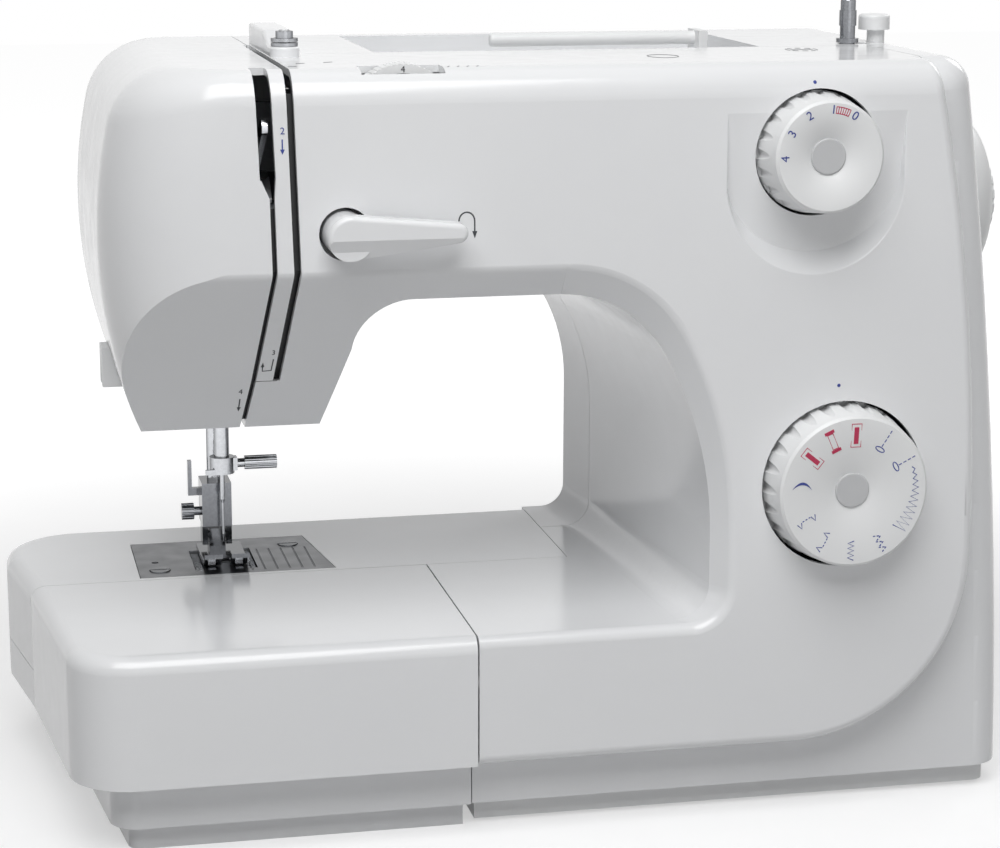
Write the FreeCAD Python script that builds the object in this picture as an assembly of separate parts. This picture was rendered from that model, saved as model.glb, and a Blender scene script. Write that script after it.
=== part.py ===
import FreeCAD, Part
import math
import os

# A free-arm household sewing machine in millimetres, +Z up, +X to the right, +Y to the back.
# Everything is drawn from the seam between the accessory box and the front cover (X = 0),
# the front of the plinth (Y = 0) and the floor (Z = 0), and moved to the row's origin on export.

V = FreeCAD.Vector
X_AXIS = V(1, 0, 0)
Y_AXIS = V(0, 1, 0)
Z_AXIS = V(0, 0, 1)

# Heights above the floor
FOOT_H = 1.5
PLINTH_TOP = 10.0
BAND_TOP = 29.5
BED_TOP = 79.0
HEAD_BOTTOM = 150.0
CREASE = 215.5
TOP = 287.0

# Depths, front to back
FRONT = -20.0
STEP = -6.0
PLINTH_FRONT = 0.0
ARM_FRONT = 84.0
REAR = 168.0
TOP_SPLIT = 58.0
THROAT_SPLIT = 132.0

# Left and right limits
BED_LEFT = -166.0
HEAD_LEFT_TOP = -121.5
HEAD_LEFT_MID = -132.0
HEAD_LEFT_MID_Z = 225.0
HEAD_LEFT_LOW = -117.0
RIGHT_LOW = 214.0
RIGHT_MID = 205.8
RIGHT_MID_Z = 160.0
RIGHT_TOP = 191.0
ARM_RIGHT = 58.0

# Walls, gaps and fits
WALL = 2.6
SEAM = 0.3
SLIDE_GAP = 0.4
BOX_GAP = 0.6
RUN = 0.05
TOUCH = 0.3

# How far a cutting shape runs past the face it cuts
OVER = 1.0

# Roundings of the casing
HEAD_FRONT_R = 42.0
HEAD_REAR_R = 30.0
TOP_EDGE_R = 12.0
TOP_LEFT_R = 26.0
COLUMN_EDGE_R = 13.0

# The raised front cover and the block behind it
COVER_RIGHT_TOP = 169.0
COVER_RIGHT_MID = 186.5
COVER_MID_Z = 200.0
COVER_RIGHT_LOW = 191.5
COVER_CORNER_R = 70.0
REAR_BLOCK_LEFT = 60.0
REAR_BLOCK_LOW = 60.0
REACH = 13.0
FAR_LEFT = -260.0

# Slope under the crease of the head, and the recess around the upper dial
SLOPE_REAR = 36.0
SLOPE_RIGHT = 32.0
CREASE_R = 5.0
SKIM = 0.02
POCKET_X = 125.0
POCKET_HALF = 34.0
POCKET_BOTTOM = 209.0
POCKET_TOP = 277.0
POCKET_DEPTH = 8.0
POCKET_TOP_DEPTH = -1.0
POCKET_SIDE_IN = 2.0
POCKET_LOW_IN = 10.0

# Spool trough in the top, handle recess in the back and socket recess in the right side
TROUGH_LOW = (-24.0, 60.0, 266.0)
TROUGH_HIGH = (128.0, 146.0, 310.0)
GRIP_LOW = (2.0, 157.0, 196.0)
GRIP_HIGH = (128.0, 190.0, 310.0)
SIDE_LOW = (198.0, 52.0, 20.0)
SIDE_HIGH = (230.0, 130.0, 60.0)


def box(x0, x1, y0, y1, z0, z1):
    return Part.makeBox(x1 - x0, y1 - y0, z1 - z0, V(x0, y0, z0))


def rod(axis, x, y, z, radius, length):
    return Part.makeCylinder(radius, length, V(x, y, z), axis)


def ring(axis, x, y, z, outer, inner, length):
    return rod(axis, x, y, z, outer, length).cut(rod(axis, x, y, z, inner, length))


def union(first, *others):
    return first.multiFuse(list(others)).removeSplitter() if others else first


def cut(shape, *tools):
    return shape.cut(Part.makeCompound(list(tools)))


def polygon(points):
    return Part.Wire(Part.makePolygon(points + points[:1]))


def prism(wire, direction):
    return Part.Face(wire).extrude(direction)


def xz_prism(points, y0, y1):
    return prism(polygon([V(x, y0, z) for x, z in points]), V(0, y1 - y0, 0))


def yz_prism(points, x0, x1):
    return prism(polygon([V(x0, y, z) for y, z in points]), V(x1 - x0, 0, 0))


def xy_prism(points, z0, z1):
    return prism(polygon([V(x, y, z0) for x, y in points]), V(0, 0, z1 - z0))


def edges_where(shape, test):
    return [edge for edge in shape.Edges if test(edge.BoundBox)]


def fillet_each(shape, spans):
    document = FreeCAD.newDocument("rounding")
    base = document.addObject("Part::Feature", "base")
    base.Shape = shape
    rounded = document.addObject("Part::Fillet", "rounded")
    rounded.Base = base
    rounded.Edges = spans
    document.recompute()
    result = rounded.Shape.copy()
    FreeCAD.closeDocument(document.Name)
    return result


def main_block(inset):
    """Arm, head and front of the column as one block, shrunk by inset on every outside face."""
    front = FRONT + inset
    rear = REAR - inset
    top = TOP - inset
    left_top = V(HEAD_LEFT_TOP + inset, front, top)
    left_mid = V(HEAD_LEFT_MID + inset, front, HEAD_LEFT_MID_Z)
    left_low = V(HEAD_LEFT_LOW + inset, front, HEAD_BOTTOM + inset)
    inner_low = V(inset, front, HEAD_BOTTOM + inset)
    inner_foot = V(inset, front, PLINTH_TOP + inset)
    right_foot = V(RIGHT_LOW - inset, front, PLINTH_TOP + inset)
    right_top = V(RIGHT_TOP - inset, front, top)
    sides = [
        Part.makeLine(inner_foot, right_foot),
        Part.makeLine(right_foot, right_top),
        Part.makeLine(right_top, left_top),
        Part.Arc(left_top, left_mid, left_low).toShape(),
        Part.makeLine(left_low, inner_low),
        Part.makeLine(inner_low, inner_foot),
    ]
    block = prism(Part.Wire(sides), V(0, rear - front, 0))

    def left_side(level):
        return lambda b: b.XMax < left_low.x + 1 and b.YLength < 0.1 and abs(b.YMin - level) < 0.1

    block = block.makeFillet(HEAD_FRONT_R - inset, edges_where(block, left_side(front)))
    block = block.makeFillet(HEAD_REAR_R - inset, edges_where(block, left_side(rear)))
    small = TOP_EDGE_R - inset
    large = TOP_LEFT_R - inset
    spans = []
    for number, edge in enumerate(block.Edges, 1):
        b = edge.BoundBox
        if b.ZMin < top - 0.1 or b.XMin > 0:
            continue
        if b.XLength > HEAD_FRONT_R * 2:
            spans.append((number, small, small))
        elif b.XLength < 0.1:
            spans.append((number, large, large))
        elif b.YMin < 0:
            spans.append((number, small, large))
        else:
            spans.append((number, large, small))
    return fillet_each(block, spans)


def cover_outline(inset):
    """The raised front cover seen from the front, as a prism through the whole depth."""
    start = FRONT - REACH
    top = V(COVER_RIGHT_TOP - inset, start, TOP + REACH)
    middle = V(COVER_RIGHT_MID - inset, start, COVER_MID_Z)
    low = V(COVER_RIGHT_LOW - inset, start, BAND_TOP + COVER_CORNER_R)
    radius = COVER_CORNER_R - inset
    centre_x = COVER_RIGHT_LOW - COVER_CORNER_R
    bend_x = centre_x + radius * math.sqrt(0.5)
    bend_z = low.z - radius * math.sqrt(0.5)
    foot = V(centre_x, start, BAND_TOP + inset)
    left = V(FAR_LEFT, start, BAND_TOP + inset)
    left_top = V(FAR_LEFT, start, TOP + REACH)
    edges = [
        Part.Arc(top, middle, low).toShape(),
        Part.Arc(low, V(bend_x, start, bend_z), foot).toShape(),
        Part.makeLine(foot, left),
        Part.makeLine(left, left_top),
        Part.makeLine(left_top, top),
    ]
    return prism(Part.Wire(edges), V(0, REAR - FRONT + 2 * REACH, 0))


def rear_block(inset):
    """The lower band, the right-hand strip and the back of the column, set behind the front cover."""
    front = STEP + inset
    low = PLINTH_TOP + inset
    top = TOP - inset
    left_foot = V(inset, front, low)
    right_foot = V(RIGHT_LOW - inset, front, low)
    right_mid = V(RIGHT_MID - inset, front, RIGHT_MID_Z)
    right_top = V(RIGHT_TOP - inset, front, top)
    left_top = V(REAR_BLOCK_LEFT, front, top)
    left_step = V(REAR_BLOCK_LEFT, front, REAR_BLOCK_LOW)
    left_low = V(inset, front, REAR_BLOCK_LOW)
    edges = [
        Part.makeLine(left_foot, right_foot),
        Part.Arc(right_foot, right_mid, right_top).toShape(),
        Part.makeLine(right_top, left_top),
        Part.makeLine(left_top, left_step),
        Part.makeLine(left_step, left_low),
        Part.makeLine(left_low, left_foot),
    ]
    block = prism(Part.Wire(edges), V(0, REAR - inset - front, 0))

    def is_right_edge(b):
        return b.XMin > RIGHT_TOP - WALL - 1 and b.YLength < 0.1 and b.ZLength > top - CREASE

    block = block.makeFillet(COLUMN_EDGE_R - inset, edges_where(block, is_right_edge))
    rim = edges_where(block, lambda b: b.ZMin > top - 0.1 and b.XMax > REAR_BLOCK_LEFT + 1)
    return block.makeFillet(TOP_EDGE_R - inset, rim)


# The throat: three sections, at the front face, behind the soft front lip and at the back
THROAT_LIP_Y = -11.0
THROAT_TOP_FRONT = CREASE
THROAT_LIP_DROP = 11.0
THROAT_TOP_LIP = THROAT_TOP_FRONT - THROAT_LIP_DROP
THROAT_TOP_REAR = 189.0
THROAT_RIGHT_FRONT = 96.0
THROAT_LIP_IN = 6.0
THROAT_RIGHT_LIP = THROAT_RIGHT_FRONT - THROAT_LIP_IN
THROAT_RIGHT_REAR = 76.0
THROAT_HEAD_X = -50.0
THROAT_HEAD_LEAN = 8.0

# Radii of each section: lower right corner, upper right corner, long sweep of the side, corner at the head
THROAT_RADII_FRONT = (13.0, 50.0, 150.0, 24.0)
THROAT_RADII_LIP = (13.0, 46.0, 140.0, 20.0)
THROAT_RADII_REAR = (10.0, 30.0, 70.0, 14.0)


def throat_section(y, grow, top, right, lower_r, upper_r, sweep_r, head_r):
    """One closed outline of the space under the arm and head, in the plane at depth y."""
    floor = BED_TOP - grow
    top = top + grow
    right = right + grow
    lower_r = lower_r + grow
    upper_r = upper_r + grow
    sweep_r = sweep_r + grow
    head_r = head_r + grow
    head_x = THROAT_HEAD_X - grow
    head_low = HEAD_BOTTOM + grow
    bend = math.radians(60)
    start = V(right - lower_r, y, floor)
    corner = V(right - lower_r * (1 - math.sqrt(0.5)), y, floor + lower_r * (1 - math.sqrt(0.5)))
    rise = V(right, y, floor + lower_r)
    # The tall side bows in towards the top, and a tighter arc turns it under the arm
    side_turn = math.pi / 2 - bend
    sweep_z = top - upper_r + upper_r * math.cos(bend)
    sweep_x = right - sweep_r * (1 - math.cos(side_turn))
    sweep_foot = sweep_z - sweep_r * math.sin(side_turn)
    middle = side_turn / 2
    sweep_mid = V(right - sweep_r * (1 - math.cos(middle)), y, sweep_foot + sweep_r * math.sin(middle))
    sweep_end = V(sweep_x, y, sweep_z)
    upper_x = sweep_x - upper_r * math.sin(bend)
    upper_mid = V(upper_x + upper_r * math.sin(bend / 2), y, top - upper_r * (1 - math.cos(bend / 2)))
    upper_end = V(upper_x, y, top)
    head_top = V(head_x + THROAT_HEAD_LEAN + head_r, y, top)
    head_mid_x = head_x + THROAT_HEAD_LEAN + head_r * (1 - math.sqrt(0.5))
    head_mid = V(head_mid_x, y, top - head_r * (1 - math.sqrt(0.5)))
    head_side = V(head_x + THROAT_HEAD_LEAN, y, top - head_r)
    head_foot = V(head_x, y, head_low)
    left_high = V(FAR_LEFT, y, head_low)
    left_low = V(FAR_LEFT, y, floor)
    edges = [
        Part.makeLine(left_low, start),
        Part.Arc(start, corner, rise).toShape(),
        Part.makeLine(rise, V(right, y, sweep_foot)),
        Part.Arc(V(right, y, sweep_foot), sweep_mid, sweep_end).toShape(),
        Part.Arc(sweep_end, upper_mid, upper_end).toShape(),
        Part.makeLine(upper_end, head_top),
        Part.Arc(head_top, head_mid, head_side).toShape(),
        Part.makeLine(head_side, head_foot),
        Part.makeLine(head_foot, left_high),
        Part.makeLine(left_high, left_low),
    ]
    return Part.Wire(edges)


def throat(grow):
    """The space under the arm and head, open to the front, the back and the left."""
    front = (THROAT_TOP_FRONT, THROAT_RIGHT_FRONT, *THROAT_RADII_FRONT)
    lip = (THROAT_TOP_LIP, THROAT_RIGHT_LIP, *THROAT_RADII_LIP)
    rear = (THROAT_TOP_REAR, THROAT_RIGHT_REAR, *THROAT_RADII_REAR)
    places = ((FRONT - 2 * REACH, front), (FRONT, front), (THROAT_LIP_Y, lip), (REAR + REACH, rear))
    wires = [throat_section(y, grow, *values) for y, values in places]
    return Part.makeLoft(wires, True, True)


def sloped_front(grow):
    """The wedge taken off the lower front of the head, with a rounded crease where it starts."""
    run = SLOPE_REAR - FRONT
    drop = CREASE - HEAD_BOTTOM
    lean = math.atan2(run, drop)
    tangent = CREASE_R * math.tan(lean / 2)
    low = HEAD_BOTTOM - REACH
    radius = CREASE_R - grow
    centre_y = FRONT + CREASE_R
    centre_z = CREASE + tangent
    begin = V(FAR_LEFT, FRONT + grow - SKIM, centre_z)
    half = lean / 2
    bend = V(FAR_LEFT, centre_y - radius * math.cos(half), centre_z - radius * math.sin(half))
    turn = V(FAR_LEFT, centre_y - radius * math.cos(lean), centre_z - radius * math.sin(lean))
    foot = V(FAR_LEFT, turn.y + (turn.z - low) * math.tan(lean), low)
    front_low = V(FAR_LEFT, FRONT - REACH, low)
    front_high = V(FAR_LEFT, FRONT - REACH, centre_z)
    edges = [
        Part.Arc(begin, bend, turn).toShape(),
        Part.makeLine(turn, foot),
        Part.makeLine(foot, front_low),
        Part.makeLine(front_low, front_high),
        Part.makeLine(front_high, begin),
    ]
    return prism(Part.Wire(edges), V(SLOPE_RIGHT - FAR_LEFT, 0, 0))


def u_wire(y, half, bottom, top):
    left = V(POCKET_X - half, y, top)
    left_low = V(POCKET_X - half, y, bottom + half)
    right_low = V(POCKET_X + half, y, bottom + half)
    right = V(POCKET_X + half, y, top)
    return Part.Wire([
        Part.makeLine(left, left_low),
        Part.Arc(left_low, V(POCKET_X, y, bottom), right_low).toShape(),
        Part.makeLine(right_low, right),
        Part.makeLine(right, left),
    ])


def dial_pocket(grow):
    """The U-shaped recess around the upper dial, its floor leaning back towards the bottom."""
    mouth = u_wire(FRONT - OVER, POCKET_HALF + grow, POCKET_BOTTOM - grow, POCKET_TOP + grow)
    half = POCKET_HALF - POCKET_SIDE_IN + grow
    bottom = POCKET_BOTTOM + POCKET_LOW_IN - grow
    floor = u_wire(FRONT + POCKET_DEPTH + grow, half, bottom, POCKET_TOP + grow)
    walls = Part.makeLoft([mouth, floor], True, True)
    lean = (POCKET_DEPTH - POCKET_TOP_DEPTH) / (POCKET_TOP - POCKET_BOTTOM)
    high = POCKET_TOP + REACH
    low = POCKET_BOTTOM - REACH
    outline = [
        (FRONT - REACH, high),
        (FRONT + POCKET_TOP_DEPTH - lean * REACH + grow, high),
        (FRONT + POCKET_DEPTH + lean * REACH + grow, low),
        (FRONT - REACH, low),
    ]
    return walls.common(yz_prism(outline, POCKET_X - 2 * POCKET_HALF, POCKET_X + 2 * POCKET_HALF))


def grown_box(low, high, grow):
    return box(low[0] - grow, high[0] + grow, low[1] - grow, high[1] + grow, low[2] - grow, high[2] + grow)


def casing(inset):
    """The whole casing above the plinth, solid, shrunk by inset from its outside."""
    front = main_block(inset).common(cover_outline(inset))
    solid = front.fuse(rear_block(inset)).removeSplitter()
    recesses = [
        throat(inset),
        sloped_front(inset),
        dial_pocket(inset),
        grown_box(TROUGH_LOW, TROUGH_HIGH, inset),
        grown_box(GRIP_LOW, GRIP_HIGH, inset),
        grown_box(SIDE_LOW, SIDE_HIGH, inset),
    ]
    for recess in recesses:
        solid = solid.cut(recess)
    return solid


# Front-face edges that are softened after the casing is cut
OUTLINE_R = 4.0
LIP_R = 4.0
POCKET_R = 0.6


def on_front(b):
    return b.YMax < FRONT + 0.05 and b.YLength < 0.06


def is_cover_edge(b):
    beside = b.XMin > COVER_RIGHT_LOW - COVER_CORNER_R - 1 and b.XMax > COVER_RIGHT_TOP
    right = beside and b.ZLength > COVER_CORNER_R / 2
    return on_front(b) and (right or b.ZMax < BAND_TOP + 1)


def is_throat_edge(b):
    inside = b.XMin > SLOPE_RIGHT and b.XMax < THROAT_RIGHT_FRONT + 1 and b.ZMin > BED_TOP - 1
    bed_edge = b.ZLength < 0.1 and abs(b.ZMin - BED_TOP) < 0.1
    return on_front(b) and ((inside and b.ZMax < THROAT_TOP_FRONT + 1) or bed_edge)


def is_pocket_edge(b):
    inside = b.XMin > POCKET_X - POCKET_HALF - 1 and b.XMax < POCKET_X + POCKET_HALF + 1
    return on_front(b) and inside and b.ZMin > POCKET_BOTTOM - 1


# Needle, presser and drive positions
NEEDLE_X = -80.0
NEEDLE_Y = 104.0
PRESSER_X = -81.5
PRESSER_Y = 121.0
SHAFT_Y = NEEDLE_Y
SHAFT_Z = 220.0
SHAFT_R = 6.0
HOOK_Z = 50.0

# Slots in the face of the head and the split between the face cover and its neighbours
SLOT_W = 2.6
TAKE_UP_SLOT_W = 5.6
TAKE_UP_SLOT_REAR = -2.0
THREAD_SLOT_W = 1.8
SLOT_BEND_Z = CREASE + 1.0
RIGHT_SLOT_TOP = (-67.0, 281.0)
RIGHT_SLOT_BEND = (-65.0, SLOT_BEND_Z)
RIGHT_SLOT_END = (-68.4, 171.0)
LEFT_SLOT_TOP = (-77.0, 300.0)
LEFT_SLOT_SHOULDER = (-75.0, 249.5)
LEFT_SLOT_NECK = (-73.6, 243.0)
LEFT_SLOT_BEND = (-73.0, SLOT_BEND_Z)
LEFT_SLOT_TONGUE = (-76.8, 171.0)
LEFT_SLOT_END = (-80.5, 140.0)
SLOT_REAR = 62.0
GUIDE_SLOT_REAR = 104.0
SLOT_DEPTH_FRONT = 40.0

# Holes in the front cover
UPPER_DIAL_X = 125.6
UPPER_DIAL_Z = 254.5
UPPER_DIAL_R = 22.4
LOWER_DIAL_X = 138.6
LOWER_DIAL_Z = 130.6
LOWER_DIAL_R = 30.6
DIAL_GAP = 1.0
LEVER_X = -48.0
LEVER_ABOVE_CREASE = 14.5
LEVER_Z = CREASE + LEVER_ABOVE_CREASE
LEVER_HUB_R = 8.0
LEVER_HOLE_R = 9.4
LEVER_CUP_R = 12.0
LEVER_SHAFT_R = 4.0
LEVER_CUP_FLOOR = -3.0
LEVER_CUP_REAR = 4.0

# Thread tension, its dial showing through the top
TENSION_X = -26.0
TENSION_Z = 269.5
TENSION_R = 19.0
TENSION_Y0 = -13.0
TENSION_Y1 = -3.0
TENSION_STUD_R = 2.5
TENSION_BOSS_Y0 = 40.0
TENSION_BOSS_Y1 = 46.0
TENSION_BOSS_HALF = 8.0
TENSION_BOSS_DROP = 9.0
TENSION_SLOT_GAP = 1.5

# Bobbin winder
WINDER_X = 167.5
WINDER_Y = 70.0
WINDER_R = 3.0
WINDER_TRAVEL = 4.5
WINDER_SLOT_GAP = 0.8
STOP_BESIDE = 14.0
STOP_X = WINDER_X + STOP_BESIDE
STOP_Y = 76.0
STOP_STEM_R = 3.5

# Head opening, lever slot in the back of the head and thread cutter
HEAD_OPEN_X0 = -112.0
HEAD_OPEN_X1 = -58.0
HEAD_OPEN_Y0 = 50.0
HEAD_OPEN_Y1 = 152.0
LIFTER_X0 = -97.0
LIFTER_X1 = -91.0
LIFTER_SLOT_GAP = 2.0
LIFTER_SLOT_FRONT = 128.0
LIFTER_SLOT_LOW = 158.0
LIFTER_SLOT_HIGH = 222.0
CUTTER_Y0 = 62.0
CUTTER_Y1 = 76.0
CUTTER_Z0 = 162.0
CUTTER_Z1 = 177.0
CUTTER_X0 = -129.0
CUTTER_X1 = -117.0

# Right-hand wall: shaft hole
WHEEL_HOLE_R = 9.0

# Carrying handle, folded down into the back
GRIP_Y = 162.0
GRIP_Z = 270.0
GRIP_PIN_R = 3.0
GRIP_T = 8.0


def strip(points, width, y0, y1):
    """A ribbon of even width that follows a line in the front view."""
    pieces = []
    for (xa, za), (xb, zb) in zip(points, points[1:]):
        length = math.hypot(xb - xa, zb - za)
        nx = (zb - za) / length * width / 2
        nz = -(xb - xa) / length * width / 2
        corners = [(xa - nx, za - nz), (xa + nx, za + nz), (xb + nx, zb + nz), (xb - nx, zb - nz)]
        pieces.append(xz_prism(corners, y0, y1))
    for x, z in points[1:-1]:
        pieces.append(rod(Y_AXIS, x, y0, z, width / 2, y1 - y0))
    return union(*pieces)


def slots():
    start = FRONT - REACH
    rise = (RIGHT_SLOT_TOP[0], TOP + REACH)
    right = strip([RIGHT_SLOT_TOP, RIGHT_SLOT_BEND, RIGHT_SLOT_END], SLOT_W, start, SLOT_DEPTH_FRONT)
    over = strip([rise, RIGHT_SLOT_TOP], SLOT_W, start, GUIDE_SLOT_REAR)
    take_up = strip([LEFT_SLOT_TOP, LEFT_SLOT_SHOULDER], TAKE_UP_SLOT_W, start, TAKE_UP_SLOT_REAR)
    shoulder_x, shoulder_z = LEFT_SLOT_SHOULDER
    neck_x, neck_z = LEFT_SLOT_NECK
    funnel = [
        (shoulder_x - TAKE_UP_SLOT_W / 2, shoulder_z + OVER),
        (shoulder_x + TAKE_UP_SLOT_W / 2, shoulder_z + OVER),
        (neck_x + THREAD_SLOT_W / 2, neck_z),
        (neck_x - THREAD_SLOT_W / 2, neck_z),
    ]
    narrowing = xz_prism(funnel, start, TAKE_UP_SLOT_REAR)
    thread = [LEFT_SLOT_NECK, LEFT_SLOT_BEND, LEFT_SLOT_TONGUE, LEFT_SLOT_END]
    left = strip(thread, THREAD_SLOT_W, start, HEAD_OPEN_Y0 + 1)
    return [right, over, take_up, narrowing, left]


def face_zone(shift):
    """Everything that belongs to the face cover; shift moves its border to leave the seam."""
    high = TOP + REACH
    low = HEAD_BOTTOM - REACH
    front_points = [
        (FAR_LEFT, high),
        (RIGHT_SLOT_TOP[0] + shift, high),
        (RIGHT_SLOT_TOP[0] + shift, RIGHT_SLOT_TOP[1]),
        (RIGHT_SLOT_BEND[0] + shift, RIGHT_SLOT_BEND[1]),
        (RIGHT_SLOT_END[0] + shift, RIGHT_SLOT_END[1] - shift),
        (LEFT_SLOT_TONGUE[0] + shift, LEFT_SLOT_TONGUE[1] - shift),
        (LEFT_SLOT_END[0] + shift, LEFT_SLOT_END[1]),
        (LEFT_SLOT_END[0] + shift, low),
        (FAR_LEFT, low),
    ]
    front = xz_prism(front_points, FRONT - REACH, SLOT_REAR)
    rear = box(FAR_LEFT, RIGHT_SLOT_TOP[0] + shift, SLOT_REAR, REAR + REACH, low, high)
    return union(front, rear)


def front_zone(shift):
    """Everything that belongs to the front cover; shift moves its border to leave the seam."""
    outline = cover_outline(-shift)
    front = outline.common(box(FAR_LEFT, RIGHT_LOW, FRONT - REACH, TOP_SPLIT + shift, 0, TOP + REACH))
    middle_right = THROAT_RIGHT_FRONT + REACH
    middle_top = THROAT_TOP_FRONT + REACH
    middle = box(THROAT_HEAD_X - REACH, middle_right, 0, THROAT_SPLIT + shift, BAND_TOP, middle_top)
    return union(front, middle)


def build_casing():
    outer = casing(0)
    outer = outer.makeFillet(OUTLINE_R, edges_where(outer, is_cover_edge))
    outer = outer.makeFillet(LIP_R, edges_where(outer, is_throat_edge))
    outer = outer.makeFillet(POCKET_R, edges_where(outer, is_pocket_edge))
    shell = outer.cut(casing(WALL))
    foot_hole = box(
        BASE_LEFT + FLOOR_LEDGE,
        BASE_RIGHT - FLOOR_LEDGE,
        PLINTH_FRONT + FLOOR_LEDGE,
        BASE_REAR - FLOOR_LEDGE,
        PLINTH_TOP - OVER,
        PLINTH_TOP + WALL + OVER,
    )
    arm_mouth = box(-OVER, ARM_RIGHT + SEAM, ARM_FRONT - SEAM, REAR + OVER, BAND_TOP - SEAM, BED_TOP + SKIM)
    head_hole = box(
        HEAD_OPEN_X0, HEAD_OPEN_X1, HEAD_OPEN_Y0, HEAD_OPEN_Y1, HEAD_BOTTOM - OVER, HEAD_BOTTOM + WALL + OVER
    )
    shell = cut(shell, foot_hole, arm_mouth, head_hole)

    face = shell.common(face_zone(0))
    face = cut(face, *slots())
    rest = shell.cut(face_zone(SEAM))
    rest = cut(rest, *slots())
    front = rest.common(front_zone(0))
    rear = rest.cut(front_zone(SEAM))

    upper_hole = rod(Y_AXIS, UPPER_DIAL_X, FRONT - REACH, UPPER_DIAL_Z, UPPER_DIAL_R + DIAL_GAP, 3 * REACH)
    lower_hole = rod(Y_AXIS, LOWER_DIAL_X, FRONT - REACH, LOWER_DIAL_Z, LOWER_DIAL_R + DIAL_GAP, 2 * REACH)
    cup_start = FRONT + WALL - OVER
    cup = rod(Y_AXIS, LEVER_X, cup_start, LEVER_Z, LEVER_CUP_R, LEVER_CUP_REAR - cup_start)
    cup_bore = rod(Y_AXIS, LEVER_X, FRONT - REACH, LEVER_Z, LEVER_HOLE_R, LEVER_CUP_FLOOR - FRONT + REACH)
    cup_hole = rod(Y_AXIS, LEVER_X, 2 * FRONT, LEVER_Z, LEVER_SHAFT_R + RUN, 2 * REACH - 2 * FRONT)
    bend_r = TOP_EDGE_R - WALL
    bend_in = FRONT + TOP_EDGE_R - TENSION_Y0
    wall_low = TOP - TOP_EDGE_R + math.sqrt(bend_r ** 2 - bend_in ** 2)
    tension_half = math.sqrt(TENSION_R ** 2 - (wall_low - TENSION_Z) ** 2) + TENSION_SLOT_GAP
    tension_slot = box(
        TENSION_X - tension_half,
        TENSION_X + tension_half,
        TENSION_Y0 - TENSION_SLOT_GAP,
        TENSION_Y1 + TENSION_SLOT_GAP,
        TENSION_Z,
        TOP + OVER,
    )
    boss = box(
        TENSION_X - TENSION_BOSS_HALF,
        TENSION_X + TENSION_BOSS_HALF,
        TENSION_BOSS_Y0,
        TENSION_BOSS_Y1,
        TENSION_Z - TENSION_BOSS_DROP,
        TOP - WALL + OVER,
    )
    boss_hole = rod(Y_AXIS, TENSION_X, TENSION_BOSS_Y0 - OVER, TENSION_Z, TENSION_STUD_R + RUN, REACH)
    slot_r = WINDER_R + WINDER_SLOT_GAP
    slot_low = TOP - WALL - OVER
    slot_high = TOP + OVER
    winder_slot = union(
        rod(Z_AXIS, WINDER_X, WINDER_Y, slot_low, slot_r, slot_high - slot_low),
        rod(Z_AXIS, WINDER_X + WINDER_TRAVEL, WINDER_Y, slot_low, slot_r, slot_high - slot_low),
        box(WINDER_X, WINDER_X + WINDER_TRAVEL, WINDER_Y - slot_r, WINDER_Y + slot_r, slot_low, slot_high),
    )
    front = union(front, cup, boss)
    front = cut(front, upper_hole, lower_hole, cup_bore, cup_hole, tension_slot, boss_hole)

    wheel_hole = rod(X_AXIS, RIGHT_TOP - REACH, SHAFT_Y, SHAFT_Z, WHEEL_HOLE_R, 3 * REACH)
    stop_hole = rod(Z_AXIS, STOP_X, STOP_Y, TOP - REACH, STOP_STEM_R + TOUCH, 2 * REACH)
    pivot_start = GRIP_LOW[0] - REACH
    pivot_length = GRIP_HIGH[0] + REACH - pivot_start
    pivot_hole = rod(X_AXIS, pivot_start, GRIP_Y, GRIP_Z, GRIP_PIN_R + RUN, pivot_length)
    rear = cut(rear, wheel_hole, winder_slot, stop_hole, pivot_hole)
    lifter_slot = box(
        LIFTER_X0 - LIFTER_SLOT_GAP,
        LIFTER_X1 + LIFTER_SLOT_GAP,
        LIFTER_SLOT_FRONT,
        REAR + OVER,
        LIFTER_SLOT_LOW,
        LIFTER_SLOT_HIGH,
    )
    cutter_hole = box(
        CUTTER_X0 - OVER,
        CUTTER_X1 + OVER,
        CUTTER_Y0 - TOUCH,
        CUTTER_Y1 + TOUCH,
        CUTTER_Z0 - TOUCH,
        CUTTER_Z1 + TOUCH,
    )
    face = cut(face, lifter_slot, cutter_hole)
    return front, rear, face


# Accessory box: plan of its upper body, band and plinth
BOX_FRONT_LEFT = -147.0
BOX_REAR_LEFT = -158.5
BOX_CORNER_R = 24.0
BOX_BAND_INSET = 13.0
BOX_PLINTH_INSET = 19.0
BOX_EDGE_R = 6.0
BOX_LOW_WALL = 26.0
BOX_FLOOR = 3.0
BOX_PLINTH_SHORT = 2.0

# Free arm
ARM_BOTTOM = 29.5
ARM_SPLIT = 45.0
ARM_SIDE_Y = 130.0
ARM_CORNER_R = 30.0
ARM_EDGE_R = 6.0
PLATE_X0 = -115.0
PLATE_X1 = -37.0
PLATE_REAR_X1 = -43.5
PLATE_Y0 = 87.0
PLATE_Y1 = 139.0
PLATE_T = 2.0
DOOR_X0 = -112.0
DOOR_X1 = -48.0
DOOR_Z0 = 34.0
DOOR_Z1 = 74.0
DOOR_T = 2.4
DOOR_AXIS_Z = 37.0
DOOR_PIN_R = 1.0
DOOR_PIN_OUT = 2.0
DOOR_SWING_GAP = 1.0
DOOR_NOTCH_R = 9.0
DOOR_NOTCH_DEPTH = 1.2


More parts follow.
